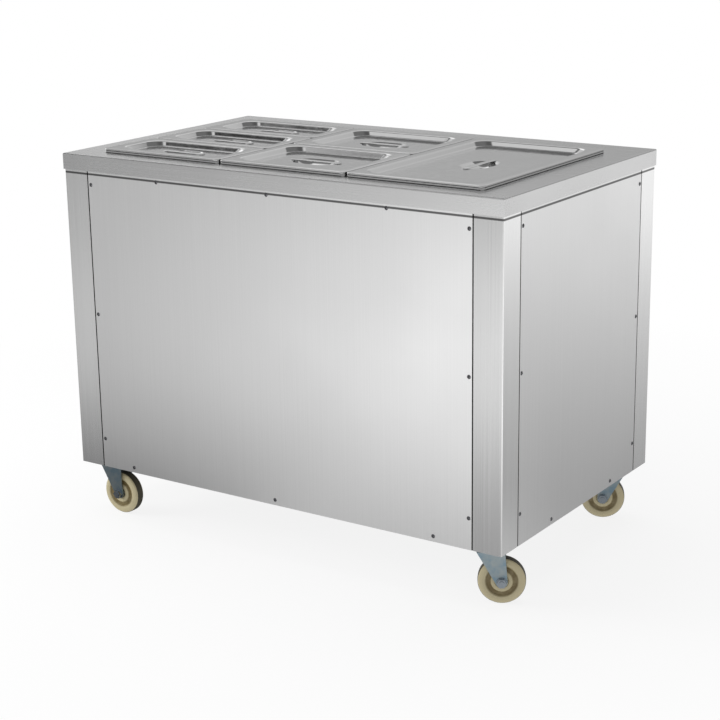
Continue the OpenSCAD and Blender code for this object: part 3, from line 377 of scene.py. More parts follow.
class Graph:
    """A node tree, with short calls for what the finishes and the studio share."""

    def __init__(self, tree: NodeTree) -> None:
        """Clears the tree and keeps it."""
        self.tree = tree
        self.tree.nodes.clear()

    def node(self, kind: str, **settings: Any) -> Node:
        """Adds a node and sets the given properties on it.

        Args:
            kind: Type of the node, without the word ShaderNode.
            **settings: Values of its properties.

        Returns:
            The node.
        """
        node = self.tree.nodes.new(f"ShaderNode{kind}")
        for name, value in settings.items():
            setattr(node, name, value)
        return node

    def plug(self, socket: Socket, source: Any) -> None:
        """Links a socket into an input, or sets a value on it.

        Args:
            socket: The input.
            source: Another node's output, or a value; a colour gets an alpha of 1.
        """
        if isinstance(source, Socket):
            self.tree.links.new(source, socket)
        else:
            socket.default_value = (*source, 1.0) if socket.type == "RGBA" else source

    def feed(self, node: Node, *sources: Any, **named: Any) -> Node:
        """Fills a node's inputs.

        Args:
            node: The node.
            *sources: Outputs or values for its first inputs.
            **named: Outputs or values by name, with an underscore for each space.

        Returns:
            The same node.
        """
        for socket, source in zip(node.inputs, sources):
            self.plug(socket, source)
        for name, source in named.items():
            self.plug(node.inputs[name.replace("_", " ")], source)
        return node

    def coordinates(self, stretch: Colour = UNSCALED) -> Socket:
        """Object coordinates times a factor along each axis."""
        source = self.node("TexCoord").outputs["Object"]
        return self.feed(self.node("Mapping"), Vector=source, Scale=stretch).outputs[0]

    def parts(self, vector: Socket) -> tuple[Socket, ...]:
        """The three components of a vector."""
        return tuple(self.feed(self.node("SeparateXYZ"), vector).outputs)

    def noise(
        self, scale: float, detail: float, roughness: float, stretch: Colour = UNSCALED
    ) -> Socket:
        """Adds a fractal noise on the object's coordinates.

        Args:
            scale: Its frequency.
            detail: Its octaves.
            roughness: Share of each octave in the one before.
            stretch: Factors on the coordinates.

        Returns:
            The noise's value.
        """
        node = self.node("TexNoise")
        self.feed(node, Vector=self.coordinates(stretch), Scale=scale)
        return self.feed(node, Detail=detail, Roughness=roughness).outputs[0]

    def spread(
        self, value: Any, low: float, high: float, start: float, end: float, smooth: bool = False
    ) -> Socket:
        """Maps a value from low..high to start..end and holds it there.

        Args:
            value: The value.
            low: Value that gives the start.
            high: Value that gives the end.
            start: First result.
            end: Last result.
            smooth: Whether the ramp eases in and out.

        Returns:
            The mapped value.
        """
        node = self.node("MapRange", interpolation_type="SMOOTHSTEP" if smooth else "LINEAR")
        self.feed(node, Value=value, From_Min=low, From_Max=high, To_Min=start, To_Max=end)
        return node.outputs[0]

    def vary(self, marks: Socket, low: float, high: float) -> Socket:
        """Turns the middle range of a noise, where most of it lies, into low..high."""
        return self.spread(marks, 0.3, 0.7, low, high)

    def band(self, value: Any, low: float, high: float, soft: float, smooth: bool = True) -> Socket:
        """Gives 1 between two limits and 0 past them, with a ramp of twice soft at each limit."""
        above = self.spread(value, low - soft, low + soft, 0.0, 1.0, smooth)
        return self.product(above, self.spread(value, high - soft, high + soft, 1.0, 0.0, smooth))

    def math(self, operation: str, a: Any, b: Any) -> Socket:
        """Adds a Math node of the given operation on two sockets or numbers."""
        return self.feed(self.node("Math", operation=operation), a, b).outputs[0]

    def product(self, *factors: Any) -> Any:
        """Multiplies sockets or numbers."""
        return reduce(lambda a, b: self.math("MULTIPLY", a, b), factors)

    def blend(self, share: Any, first: Any, second: Any) -> Socket:
        """Blends two colours.

        Args:
            share: Share of the second colour.
            first: Socket or colour at 0.
            second: Socket or colour at 1.

        Returns:
            The blend.
        """
        node = self.feed(self.node("Mix", data_type="RGBA"), Factor=share)
        for socket, source in zip(node.inputs[6:8], (first, second)):
            self.plug(socket, source)
        return node.outputs[2]

    def mottled(self, marks: Socket, colour: Colour, dark: float, light: float = 1.0) -> Socket:
        """Lets a noise vary a colour between two factors on it."""
        return self.blend(self.vary(marks, 0, 1), shaded(colour, dark), shaded(colour, light))

    def layered(self, share: Any, under: Node, over: Node) -> Node:
        """Mixes two shaders by the share of the upper one."""
        return self.feed(self.node("MixShader"), share, under.outputs[0], over.outputs[0])


class Surface(Graph):
    """A material's nodes round one principled shader."""

    def __init__(self, name: str) -> None:
        """Starts a material.

        Args:
            name: Name of the material.
        """
        self.material = bpy.data.materials.new(name)
        self.material.use_nodes = True
        super().__init__(self.material.node_tree)
        self.shader = self.node("BsdfPrincipled")
        self.output = self.feed(self.node("OutputMaterial"), self.shader.outputs[0])

    def set(self, **values: Any) -> None:
        """Feeds the shader's own inputs; an underscore in a name stands for a space."""
        self.feed(self.shader, **values)

    def bump(self, height: Socket, strength: float, distance: float) -> None:
        """Feeds a height into the shader's normal; a height of 1 stands for the distance."""
        node = self.feed(self.node("Bump"), Height=height, Strength=strength, Distance=distance)
        self.set(Normal=node.outputs["Normal"])


@dataclass(frozen=True)
class Finish:
    """Base of the finishes: a name, and a material that is made once and shared."""

    name: str

    def material(self) -> Material:
        """The finish's material, dressed on first use."""
        found = bpy.data.materials.get(self.name)
        return found if found is not None else self.build()

    def build(self) -> Material:
        """Makes the material and lets the finish fill it.

        Returns:
            The material.
        """
        graph = Surface(self.name)
        self.fill(graph)
        return graph.material

    def fill(self, graph: Surface) -> None:
        """Fills the material's nodes."""
        raise NotImplementedError


@dataclass(frozen=True)
class BrushedSteel(Finish):
    """Stainless sheet with fine streaks along its grain and faint smudges."""

    colour: Colour = grey(0.70)
    grain: Grain = Grain.UPRIGHT
    roughness: float = 0.32
    streak: float = 0.05
    relief: float = 0.08
    anisotropy: float = 0.6
    # joint: heights of a band of painted shadow under the worktop's edge; None means no band
    joint: tuple[float, float] | None = None

    def fill(self, graph: Surface) -> None:
        """Streaks vary colour, roughness and relief; a slow noise smudges the roughness.

        Where a joint is given, painted shadow darkens the sheet between its two heights, in place
        of the shade under the worktop's edge.

        Args:
            graph: Nodes of the material.
        """
        stretch, way = self.grain.value
        fine = graph.noise(1.0, 6.0, 0.68, stretch)
        slow = graph.noise(3.4, 4.0, 0.55)
        colour = graph.mottled(fine, self.colour, 1 - self.streak, 1 + self.streak)
        if self.joint is not None:
            height = graph.parts(graph.coordinates())[2]
            # Painted shadow: a near-black band blended over the sheet between the two heights
            line = graph.band(height, *self.joint, 0.6 * MM, False)
            colour = graph.blend(graph.product(line, 0.85), colour, grey(0.02))
        smudges = graph.spread(slow, 0.35, 0.7, -0.02, 0.04)
        rough = graph.math("ADD", graph.vary(fine, -0.04, 0.04), smudges)
        rough = graph.math("ADD", rough, self.roughness)
        graph.set(Base_Color=colour, Roughness=rough, Metallic=1.0)
        graph.bump(fine, self.relief, 0.3 * MM)
        if way is not None:
            tangent = graph.feed(graph.node("CombineXYZ"), *way).outputs[0]
            graph.set(Anisotropic=self.anisotropy, Anisotropic_Rotation=0.25, Tangent=tangent)


@dataclass(frozen=True)
class ZincPlate(Finish):
    """Blue-passivated zinc on pressed steel, with patches of colour and a fine orange peel."""

    colour: Colour = (0.24, 0.335, 0.40)
    warm: Colour = (0.40, 0.44, 0.44)
    roughness: float = 0.36

    def fill(self, graph: Surface) -> None:
        """Patches run from the blue to the warm colour, and dull the gloss where they are warm.

        Args:
            graph: Nodes of the material.
        """
        patches = graph.noise(42.0, 5.0, 0.6)
        share = graph.spread(patches, 0.38, 0.68, 0, 1)
        rough = graph.vary(patches, self.roughness - 0.06, self.roughness + 0.1)
        colour = graph.blend(share, self.colour, self.warm)
        graph.set(Base_Color=colour, Roughness=rough, Metallic=1.0)
        graph.bump(graph.noise(900.0, 3.0, 0.5), 0.12, 0.2 * MM)


@dataclass(frozen=True)
class BrightSteel(Finish):
    """Polished small parts, with slight handling marks."""

    colour: Colour = (0.62, 0.63, 0.65)
    roughness: float = 0.2

    def fill(self, graph: Surface) -> None:
        """A fine noise varies colour and roughness by a few hundredths.

        Args:
            graph: Nodes of the material.
        """
        marks = graph.noise(260.0, 4.0, 0.6)
        rough = graph.vary(marks, self.roughness - 0.04, self.roughness + 0.08)
        colour = graph.mottled(marks, self.colour, 0.88)
        graph.set(Base_Color=colour, Roughness=rough, Metallic=1.0)


@dataclass(frozen=True)
class Moulding(Finish):
    """Moulded plastic or rubber with a fine texture and a slight unevenness of colour."""

    colour: Colour = grey(0.03)
    roughness: float = 0.5
    mottle: float = 0.12
    texture: float = 900.0
    relief: float = 0.15
    shine: float = 0.5

    def fill(self, graph: Surface) -> None:
        """A slow noise mottles the colour and a fine one gives the spark texture.

        Args:
            graph: Nodes of the material.
        """
        slow = graph.noise(55.0, 4.0, 0.6)
        colour = graph.mottled(slow, self.colour, 1 - self.mottle, 1 + self.mottle)
        rough = graph.vary(slow, self.roughness - 0.05, self.roughness + 0.08)
        graph.set(Base_Color=colour, Roughness=rough, Specular_IOR_Level=self.shine)
        graph.bump(graph.noise(self.texture, 2.0, 0.5), self.relief, 0.2 * MM)


@dataclass(frozen=True)
class GroovedMoulding(Finish):
    """Cast wheel plastic that is darker and browner where its own attribute marks a groove."""

    colour: Colour = (0.49, 0.43, 0.27)
    groove: Colour = (0.15, 0.11, 0.04)
    roughness: float = 0.32

    def fill(self, graph: Surface) -> None:
        """The attribute named groove, made uneven by a noise, blends the two colours.

        Args:
            graph: Nodes of the material.
        """
        slow = graph.noise(70.0, 4.0, 0.6)
        mark = graph.node("Attribute", attribute_name="groove").outputs["Fac"]
        uneven = graph.product(mark, graph.vary(slow, 0.75, 1.1))
        rough = graph.vary(slow, self.roughness - 0.06, self.roughness + 0.1)
        graph.set(Base_Color=graph.blend(uneven, self.colour, self.groove), Roughness=rough)
        graph.bump(graph.noise(700.0, 3.0, 0.6), 0.1, 0.2 * MM)


@dataclass(frozen=True)
class ClearLens(Finish):
    """Clear coloured plastic of a lamp, with fine ribs inside."""

    colour: Colour = (0.95, 0.42, 0.04)

    def fill(self, graph: Surface) -> None:
        """Partly transmitting colour with a faint ribbed relief.

        Args:
            graph: Nodes of the material.
        """
        ribs = graph.noise(1.0, 2.0, 0.5, (900.0, 60.0, 900.0))
        colour = graph.mottled(ribs, self.colour, 0.7)
        graph.set(Base_Color=colour, Roughness=0.12, IOR=1.49, Transmission_Weight=0.35)
        graph.bump(ribs, 0.2, 0.4 * MM)


# Heights of the band of painted shadow on panels and posts, for the narrow shadow under the
# worktop's edge
PAINTED_SHADOW_BAND = (0.8105, 0.8150)
FOLDED, UPRIGHT, SATIN = Grain.FOLDED, Grain.UPRIGHT, Grain.SATIN
WORKTOP_STEEL = BrushedSteel("worktop_brushed", grey(0.62), FOLDED, 0.25, 0.015, 0.01)
PANEL_STEEL = BrushedSteel("panel_brushed", grey(0.78), UPRIGHT, 0.36, 0.03, 0.03, 0.3, PAINTED_SHADOW_BAND)
POST_STEEL = BrushedSteel("post_brushed", grey(0.82), UPRIGHT, 0.2, 0.05, 0.04, 0.4, PAINTED_SHADOW_BAND)
# Painted shade: a darker copy of the post steel for the front-right post's front face
SHADED_POST_STEEL = BrushedSteel("post_front_painted_shade", grey(0.52), UPRIGHT, 0.22, 0.08, 0.05, 0.4, PAINTED_SHADOW_BAND)
DOOR_STEEL = BrushedSteel("door_brushed", grey(0.70), UPRIGHT, 0.36, 0.04)
LID_STEEL = BrushedSteel("lid_satin", grey(0.70), SATIN, 0.10, 0.02, 0.01)
PAN_STEEL = BrushedSteel("pan_satin", grey(0.66), SATIN, 0.22, 0.03, 0.03)
STRAP_STEEL = BrushedSteel("strap_satin", grey(0.72), SATIN, 0.14, 0.02, 0.01)
TANK_STEEL = BrushedSteel("tank_dull", grey(0.56), SATIN, 0.4, 0.05, 0.06)
FRAME_STEEL = BrushedSteel("frame_mill", grey(0.48), SATIN, 0.42, 0.06, 0.08)
FLOOR_STEEL = BrushedSteel("cupboard_brushed", grey(0.66), Grain.ALONG, 0.34)
TRACK_ALUMINIUM = BrushedSteel("track_anodised", (0.74, 0.74, 0.75), Grain.ALONG, 0.36, 0.04)
CASTOR_ZINC = ZincPlate("zinc_passivated")
BOLT_STEEL = BrightSteel("bolt_bright", (0.36, 0.40, 0.44), 0.16)
# Painted shade: the chrome screw heads get a near-black base, for the dark reflections they show
DARKENED_SCREW_STEEL = BrightSteel("screw_painted_dark", (0.16, 0.16, 0.17), 0.2)
VALVE_CHROME = BrightSteel("chrome_plated", (0.66, 0.66, 0.67), 0.12)
SEAL_STEEL = BrightSteel("seal_dark", (0.10, 0.115, 0.13), 0.35)
# Painted shade: near-black paint for the shade in narrow gaps, between pan rims, on post flanges
# and on panel edges
PAINTED_GAP_SHADE = Moulding("painted_gap_shade", grey(0.006), 0.8, shine=0.0)
WHEEL_NYLON = GroovedMoulding("wheel_polyamide")
TREAD_RUBBER = Moulding("tread_dark", (0.055, 0.048, 0.028), 0.5, 0.25)
BLACK_PLASTIC = Moulding("black_textured", grey(0.02), 0.5)
KNOB_PLASTIC = Moulding("knob_gloss", grey(0.015), 0.22, 0.1, 400.0, 0.03)
ROCKER_PLASTIC = Moulding("rocker_red", (0.42, 0.02, 0.015), 0.25, 0.1, 400.0, 0.03)
MARKING_WHITE = Moulding("marking_white", (0.75, 0.75, 0.73), 0.5, 0.05, 400.0, 0.03)
LEVER_PAINT = Moulding("lever_red", (0.42, 0.03, 0.02), 0.3, 0.12, 500.0, 0.05)
AMBER_LENS = ClearLens("lamp_amber")


@dataclass(frozen=True)
class PanPlace:
    """One pan place of the worktop, or its share where several pans stand in it.

    A face is at the rim's side, its corner or the outer edge within that band.
    """

    name: str
    column: int
    index: int
    share: int
    pitch: float = 327 * MM
    depth: float = 532 * MM
    gap: float = 2 * MM
    well_y: float = -24 * MM
    rim_seat: float = 855.3 * MM
    lid_rise: float = 4.3 * MM
    side_band: float = 1.1 * MM
    corner_band: float = 4 * MM
    outer_band: float = 3 * MM

    @property
    def centre(self) -> Array:
        """Middle of the place, on the seat of the pan's rim."""
        y = self.well_y + ((self.index + 0.5) / self.share - 0.5) * self.depth
        return np.array([(self.column - 1) * self.pitch, y, self.rim_seat])

    @property
    def half(self) -> tuple[float, float]:
        """Half sizes of the pan's rim along X and Y."""
        return (self.pitch - self.gap) / 2, (self.depth / self.share - self.gap) / 2

    def darken_edge(self, mesh: Mesh, low: float, high: float) -> None:
        """Paints shade on the foot of a rim's outer side, where the narrow joint there lies in
        shadow.

        Args:
            mesh: Mesh of a pan or a lid.
            low: Height up to which a side is dark that stands on the worktop's edge.
            high: Height up to which a side is dark that faces another pan.
        """
        points = face_vectors(mesh, "center")
        x, y, _ = np.abs(points - self.centre).T
        half_x, half_y = self.half
        side = (x > half_x - self.side_band) | (y > half_y - self.side_band)
        side |= np.hypot(x - half_x, y - half_y) < self.corner_band
        outer = np.abs(points[:, 0]) > 1.5 * self.pitch - self.outer_band
        outer |= np.abs(points[:, 1] - self.well_y) > self.depth / 2 - self.outer_band
        # Painted shade: the rim's side faces below the given height get the near-black gap shade
        paint_faces(mesh, (side & (points[:, 2] < np.where(outer, low, high)), PAINTED_GAP_SHADE))

    def body(self, kind: str) -> str:
        """Name of the pan's or the lid's CAD body, with the kind after the size."""
        size, *rest = self.name.split("_")
        return "_".join([size, kind, *rest])


@dataclass(frozen=True)
class Pressing:
    """What pans and lids share: a flange with a turned-down edge round a pressed floor.

    The floor's first ring lies floor_run past the foot of the wall, where the corners turn tighter
    by floor_turn. The painted shade on the rim's side is shadow high at the worktop's edge, and
    gap_shadow high between two pans.
    """

    place: PanPlace
    flange: float
    lean: float
    depth: float
    corner: float
    floor_run: float
    floor_turn: float
    fillets: tuple[float, float, float]
    gap_shadow: float
    steps: int
    sheet: float = 1 * MM
    drop: float = 4 * MM
    rim_corner: float = 12 * MM
    shadow: float = 0.7 * MM

    @property
    def floor(self) -> float:
        """Height of the floor above the rim's lower edge."""
        return self.drop - self.depth

    def rows(self) -> Array:
        """Rows from the rim's free edge over the flange and down a leaning wall to the floor.

        The stations are distance inwards, height and corner radius, with a fillet at each turn.

        Returns:
            Rows as pressed_rings takes them.
        """
        foot = self.flange + self.lean
        stations = np.array([
            [0, 0, self.rim_corner],
            [0, self.shadow, self.rim_corner],
            [0, self.drop, self.rim_corner],
            [self.flange, self.drop, self.corner + 1.5 * MM],
            [foot, self.floor, self.corner],
            [foot + self.floor_run, self.floor, self.corner - self.floor_turn],
        ])
        inset, height, radius = filleted(stations, [0, *self.fillets], 8).T
        half_x, half_y = self.place.half
        return np.stack([inset, half_x - inset, half_y - inset, radius, height], axis=1)

    def press(self, rows: Array, seat: Array, kind: str, title: str, finish: Finish) -> None:
        """Makes the sheet, puts it on its seat and paints shade on the foot of its rim.

        Args:
            rows: Its section.
            seat: Middle of its rim's lower edge.
            kind: The word pan or lid, as the solids have it.
            title: First words of the piece's name.
            finish: Its finish.
        """
        skin = Skin().add(pressed_rings(rows, self.sheet, self.steps) + seat)
        name, body = self.place.name, self.place.body(kind)
        mesh = put_piece(f"{title}_{name}", skin, finish, body, f"{kind}_steel", f"{kind}_{name}")
        # Painted shade on the foot of the rim, for the shadowed joints round it
        self.place.darken_edge(mesh, seat[2] + self.shadow, seat[2] + self.gap_shadow)


@dataclass(frozen=True)
class Pan(Pressing):
    """A pressed pan: rim with a turned-down edge, leaning walls and a rounded foot."""

    flange: float = 12 * MM
    lean: float = 10 * MM
    depth: float = 149 * MM
    corner: float = 30 * MM
    floor_run: float = 35.2 * MM
    floor_turn: float = 16 * MM
    fillets: tuple[float, float, float] = (1.3 * MM, 3 * MM, 16 * MM)
    gap_shadow: float = 4.3 * MM
    steps: int = 14

    def build(self) -> None:
        """Makes the pan and puts it in its place."""
        self.press(self.rows(), self.place.centre, "pan", "gastronorm_pan", PAN_STEEL)


@dataclass(frozen=True)
class Lid(Pressing):
    """A pressed lid: flange, sunk floor, finger dimple, and the strap that bridges it."""

    flange: float = 25 * MM
    lean: float = 9 * MM
    depth: float = 10 * MM
    corner: float = 32 * MM
    floor_run: float = 12 * MM
    floor_turn: float = 8 * MM
    fillets: tuple[float, float, float] = (2.4 * MM, 4.5 * MM, 5.5 * MM)
    gap_shadow: float = 3.6 * MM
    steps: int = 16
    dimple_depth: float = 12 * MM
    dimple_rings: int = 14
    dimple_lip: tuple[float, float] = (-3 * MM, 0.2 * MM)
    dimple_fillets: tuple[float, float] = (1.2 * MM, 0.8 * MM)
    dimple_tightness: float = 0.3 * MM
    dimple_least: float = 0.6 * MM
    bowl_start: float = 0.06
    bowl_end: float = 1.2 * MM
    strap_width: float = 14 * MM
    strap_thickness: float = 2 * MM
    strap_rise: float = 0.2 * MM
    strap_lug: float = 9 * MM
    strap_past: float = 2 * MM
    strap_fillet: float = 8 * MM
    strap_rings: int = 72

    @property
    def dimple(self) -> tuple[float, float]:
        """Half sizes of the dimple along the strap and across it."""
        return (45 * MM, 30 * MM) if self.place.share == 3 else (54 * MM, 34 * MM)

    @property
    def turned(self) -> bool:
        """Whether the dimple and its strap lie along Y, as they do on the full-size lid."""
        return self.place.share == 1

    def dimple_rows(self) -> Array:
        """Rows from the dimple's lip down to the middle of its bowl.

        At a share t of the way in, the bowl lies its depth times 1 - (1 - t)^2 under the floor; t
        runs from bowl_start to bowl_end short of the middle. The corners are tighter than the half
        width by dimple_tightness, and no less than dimple_least. The distances inwards start anew
        a metre on, so the sheet between wall and lip counts as level.

        Returns:
            Rows as pressed_rings takes them.
        """
        half_x, half_y = self.dimple[::-1] if self.turned else self.dimple
        across = min(self.dimple)
        share = np.linspace(self.bowl_start, 1 - self.bowl_end / across, self.dimple_rings)
        bowl = self.floor - self.dimple_depth * (1 - (1 - share) ** 2)
        lip = [[inset, self.floor] for inset in self.dimple_lip]
        stations = np.vstack([lip, np.stack([share * across, bowl], 1)])
        first, others = self.dimple_fillets
        inset, height = filleted(stations, [first, *[others] * (self.dimple_rings - 1)], 4).T
        radius, anew = np.maximum(across - self.dimple_tightness - inset, self.dimple_least), 1.0
        return np.stack([inset + anew, half_x - inset, half_y - inset, radius, height], axis=1)

    def build(self) -> None:
        """Makes the lid and its strap and puts them in their place."""
        seat = self.place.centre + self.place.lid_rise * UP
        rows = np.vstack([self.rows(), self.dimple_rows()])
        self.press(rows, seat, "lid", "pressed_lid", LID_STEEL)
        skin, name, body = Skin().add(self.strap(seat)), self.place.name, self.place.body("lid")
        put_piece(f"strap_{name}", skin, STRAP_STEEL, body, "handle_steel", f"handle_{name}")

    def strap(self, seat: Array) -> Array:
        """Strap as a rounded flat section carried from lug to lug.

        The section is a superellipse of power 5, as wide as the strap and as thick as its sheet.
        The stations crowd towards both ends as a sine does, and there the width follows a half
        circle.

        Args:
            seat: Middle of the lid on its rim's lower edge.

        Returns:
            A grid of path points by section points.
        """
        along, rise = self.dimple[0], self.strap_rise
        flat, lug = along - 2 * rise, along + self.strap_past
        tip = lug + self.strap_lug
        middle = self.floor + self.strap_thickness / 2
        stations = np.array([
            [-tip, middle], [-lug, middle], [-flat, middle + rise],
            [flat, middle + rise], [lug, middle], [tip, middle],
        ])
        line = filleted(stations, [self.strap_fillet] * 4)
        u = np.sin(np.linspace(-QUARTER, QUARTER, self.strap_rings)) * (tip - 0.05 * MM)
        z, zero = np.interp(u, *line.T), np.zeros_like(u)
        path = np.stack([zero, u, z] if self.turned else [u, zero, z], axis=1)
        side = np.array([1.0, 0.0, 0.0]) if self.turned else REAR
        half = self.strap_width / 2
        past = np.clip((np.abs(u) - (tip - half)) / half, 0, 1)
        section = superellipse(28, 5) * (1.0, self.strap_thickness / 2)
        return swept_rings(path, side, half * np.sqrt(1 - past**2), section) + seat


PAN_PLACES = (
    PanPlace("third_front", 0, 0, 3),
    PanPlace("third_middle", 0, 1, 3),
    PanPlace("third_rear", 0, 2, 3),
    PanPlace("half_front", 1, 0, 2),
    PanPlace("half_rear", 1, 1, 2),
    PanPlace("full", 2, 0, 1),
)


@dataclass(frozen=True)
class CastorWheel:
    """A cast wheel with a ring groove in each face, a dark tread band and two bearing seals.

    The sizes are in millimetres. The groove's mark rises and falls over ramps, each given by the
    radius at its foot and its length.
    """

    corner: str
    centre: Array
    axis: Array
    radius: float = 50
    half_width: float = 14
    bore: float = 6.1
    tread: float = 0.9
    tread_inset: float = 5.2
    tread_depth: float = 2
    tread_crown: float = 0.3
    groove: float = 3.2
    groove_rise: tuple[float, float] = (21.5, 2.5)
    groove_fall: tuple[float, float] = (35.5, 3.5)
    seal_radius: float = 12.5
    seal_height: float = 2.2
    seal_gap: float = 0.3
    seal_seat: float = 1.4
    steps: int = 120
    seal_steps: int = 48

    def profile(self) -> Array:
        """Outline from the bore over one face, the rim and the other face back to the bore.

        A face runs over the bearing's seat, the hub, the ring groove and the shoulder.

        Returns:
            Rows of radius and height along the axle.
        """
        wide, deep = self.half_width, self.half_width - self.groove
        face = [
            [self.bore, wide - 1.2, 0.3], [13.6, wide - 1.2, 0.6], [15, wide, 1.2],
            [21.5, wide - 0.4, 1.6], [24, deep, 1.8], [31, deep, 2.2],
            [34.5, wide - 0.6, 4.0], [40, wide, 9.0], [self.radius - self.tread, wide - 2.5, 5.0],
        ]
        other = [[radius, -height, fillet] for radius, height, fillet in reversed(face)]
        return outline([[self.bore, 0, 0], *face, *other])

    def build(self) -> None:
        """Makes the wheel, its crowned tread let into the rim, and its seals."""
        name, body = self.corner, f"wheel_{self.corner}"
        profile, line = self.profile(), (self.centre, self.axis)
        wheel = Skin().lathe(profile, *line, self.steps)
        where = body, "wheel_nylon", f"castor_wheel_{name}"
        mesh = put_piece(f"cast_wheel_{name}", wheel, WHEEL_NYLON, *where, sharp=60)
        self.mark_groove(mesh, profile)
        low, edge = self.radius - self.tread_depth, self.radius - self.tread_crown
        half = self.half_width - self.tread_inset
        face = [[low, half, 0.2], [edge, half, 0.9]]
        other = [[edge, -half, 0.9], [low, -half, 0.2]]
        band = outline([[low, 0, 0], *face, [self.radius, 0, 60], *other])
        tread = Skin().lathe(band, *line, self.steps)
        put_piece(f"tread_{name}", tread, TREAD_RUBBER, body, "wheel_nylon")
        seals = Skin()
        inner, outer = self.bore + self.seal_gap, self.seal_radius
        seat, top = self.half_width - self.seal_seat, self.half_width + self.seal_height
        for side in (-1, 1):
            low, high = side * seat, side * top
            rows = [[inner, low, 0], [outer, low, 0.3], [outer - 1, high, 0.8], [inner, high, 0.4]]
            seals.lathe(outline(rows, 4), *line, self.seal_steps)
        put_piece(f"bearing_seals_{name}", seals, SEAL_STEEL, body, "castor_zinc")

    def mark_groove(self, mesh: Mesh, profile: Array) -> None:
        """Stores how deep each point lies in the ring groove, from 0 on the face to 1 in it.

        The mark is 1 between the groove's walls and 0 past them, with a ramp over each wall.

        Args:
            mesh: Mesh of the wheel.
            profile: Its outline.
        """
        (low, rise), (high, fall) = self.groove_rise, self.groove_fall
        radius = profile[:, 0] / MM
        mark = np.clip((radius - low) / rise, 0, 1) * np.clip((high - radius) / fall, 0, 1)
        layer = mesh.attributes.new("groove", "FLOAT", "POINT")
        layer.data.foreach_set("value", np.repeat(mark, self.steps).astype(np.float32))


@dataclass(frozen=True)
class CastorFork:
    """The pressed fork keeps its solid: zinc on the fork, bright steel on the axle's nuts."""

    corner: str
    centre: Array
    axis: Array
    nut_radius: float = 11.4 * MM
    pin_radius: float = 6.02 * MM
    leg_outside: float = 20.04 * MM

    def dress(self, solids: Solids) -> None:
        """Gives the faces of the axle bolt and its nuts their own material slot.

        Args:
            solids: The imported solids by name.
        """
        mesh = solids[f"castor_fork_{self.corner}"].data
        mesh.materials.clear()
        mesh.materials.append(CASTOR_ZINC.material())
        offset = face_vectors(mesh, "center") - self.centre
        along = offset @ self.axis
        across = np.linalg.norm(offset - along[:, None] * self.axis, axis=1)
        nuts = (np.abs(along) > self.leg_outside) & (across < self.nut_radius)
        paint_faces(mesh, (nuts | (across < self.pin_radius), BOLT_STEEL))
        LOG.info("solid castor_fork_%s in %s", self.corner, CASTOR_ZINC.name)


@dataclass(frozen=True)
class DomedScrews:
    """The screws that hold the panels: domed heads with a cross recess, on plain shanks.

    The sizes down to control_rows are in millimetres; a pair holds a distance and a height.
    """

    front_y: float = -338.0
    front_high: tuple[float, float] = (297.0, 811.0)
    front_low: tuple[float, float] = (403.0, 139.0)
    front_column: float = 487.0
    side_x: float = 563.0
    side_column: float = 262.0
    side_low: tuple[float, float] = (-125.0, 152.0)
    rows: tuple[float, ...] = (789.0, 492.0, 195.0)
    control: tuple[float, float] = (481.5, 336.5)
    control_rows: tuple[float, float] = (723.375, 790.125)
    head: float = 4.5 * MM
    dome: float = 2 * MM
    shank: float = 2 * MM
    length: float = 8 * MM
    slot_half: float = 0.62 * MM
    slot_ramp: float = 0.2 * MM
    slot_depth: float = 1.1 * MM
    arm_reach: float = 2.5 * MM
    arm_ramp: float = 0.7 * MM
    rings: int = 14
    steps: int = 48
    innermost: float = 0.04
    within: float = 0.999

    def places(self) -> tuple[Array, Array]:
        """Seats and directions of the heads on the front, the sides and the control panel.

        Returns:
            The seats and the unit vectors that the heads face along, one screw a row.
        """
        high, low, front = self.front_high, self.front_low, (0, -1, 0)
        spots = [((i * x, self.front_y, z), front) for i in (-1, 0, 1) for x, z in (high, low)]
        sides = [(y, z) for y in (-self.side_column, self.side_column) for z in self.rows]
        sides += [(y, low[1]) for y in self.side_low]
        for i in (-1, 1):
            spots += [((i * self.front_column, self.front_y, z), front) for z in self.rows]
            spots += [((i * self.side_x, y, z), (i, 0, 0)) for y, z in sides]
            x, y = self.control
            spots += [((i * x, y, z), (0, 1, 0)) for z in self.control_rows]
        points, ways = zip(*spots)
        return np.array(points) * MM, np.array(ways, float)

    def head_height(self, radius: Array, angle: Array) -> Array:
        """Height of the head over its seat.

        The dome is a sphere's cap. The cross is sunk where either coordinate is under half its
        width, by a depth that fades towards the ends of its arms.

        Args:
            radius: Distance from the screw's axis.
            angle: Angle round the axis.

        Returns:
            Heights, in the inputs' shape.
        """
        sphere = (self.head**2 + self.dome**2) / (2 * self.dome)
        cap = np.sqrt(np.maximum(sphere**2 - radius**2, 0)) - sphere + self.dome
        x, y = np.abs(radius * np.cos(angle)), np.abs(radius * np.sin(angle))
        arm = np.clip((self.slot_half - np.minimum(x, y)) / self.slot_ramp, 0, 1)
        reach = np.clip((self.arm_reach - radius) / self.arm_ramp, 0, 1)
        return cap - arm * reach * self.slot_depth

    def build(self) -> None:
        """Makes all the screws as one piece.

        A head's rings run from the share innermost of its radius to its rim. Past the share within
        a point is on the rim or the shank, and lies no higher than the seat.
        """
        angle = turn(self.steps)[None, :]
        ones = np.ones_like(angle)
        radius = np.linspace(self.innermost, 1, self.rings)[:, None] * self.head
        foot = np.array([[self.head, 0], [self.shank, 0], [self.shank, -self.length]])
        height = np.vstack([self.head_height(radius, angle), foot[:, 1:] * ones])
        radius = np.vstack([radius * ones, foot[:, :1] * ones])
        on_head = radius < self.head * self.within
        height = np.where(on_head, height, np.minimum(height, 0))[..., None]
        up, aside = (radius * np.cos(angle))[..., None], (radius * np.sin(angle))[..., None]
        skin = Skin()
        for seat, way in zip(*self.places()):
            skin.add(seat + height * way + up * UP + aside * np.cross(way, UP))
        where = "cabinet", "screw_steel", "panel_screws"
        put_piece("domed_screws", skin, DARKENED_SCREW_STEEL, *where, sharp=40)


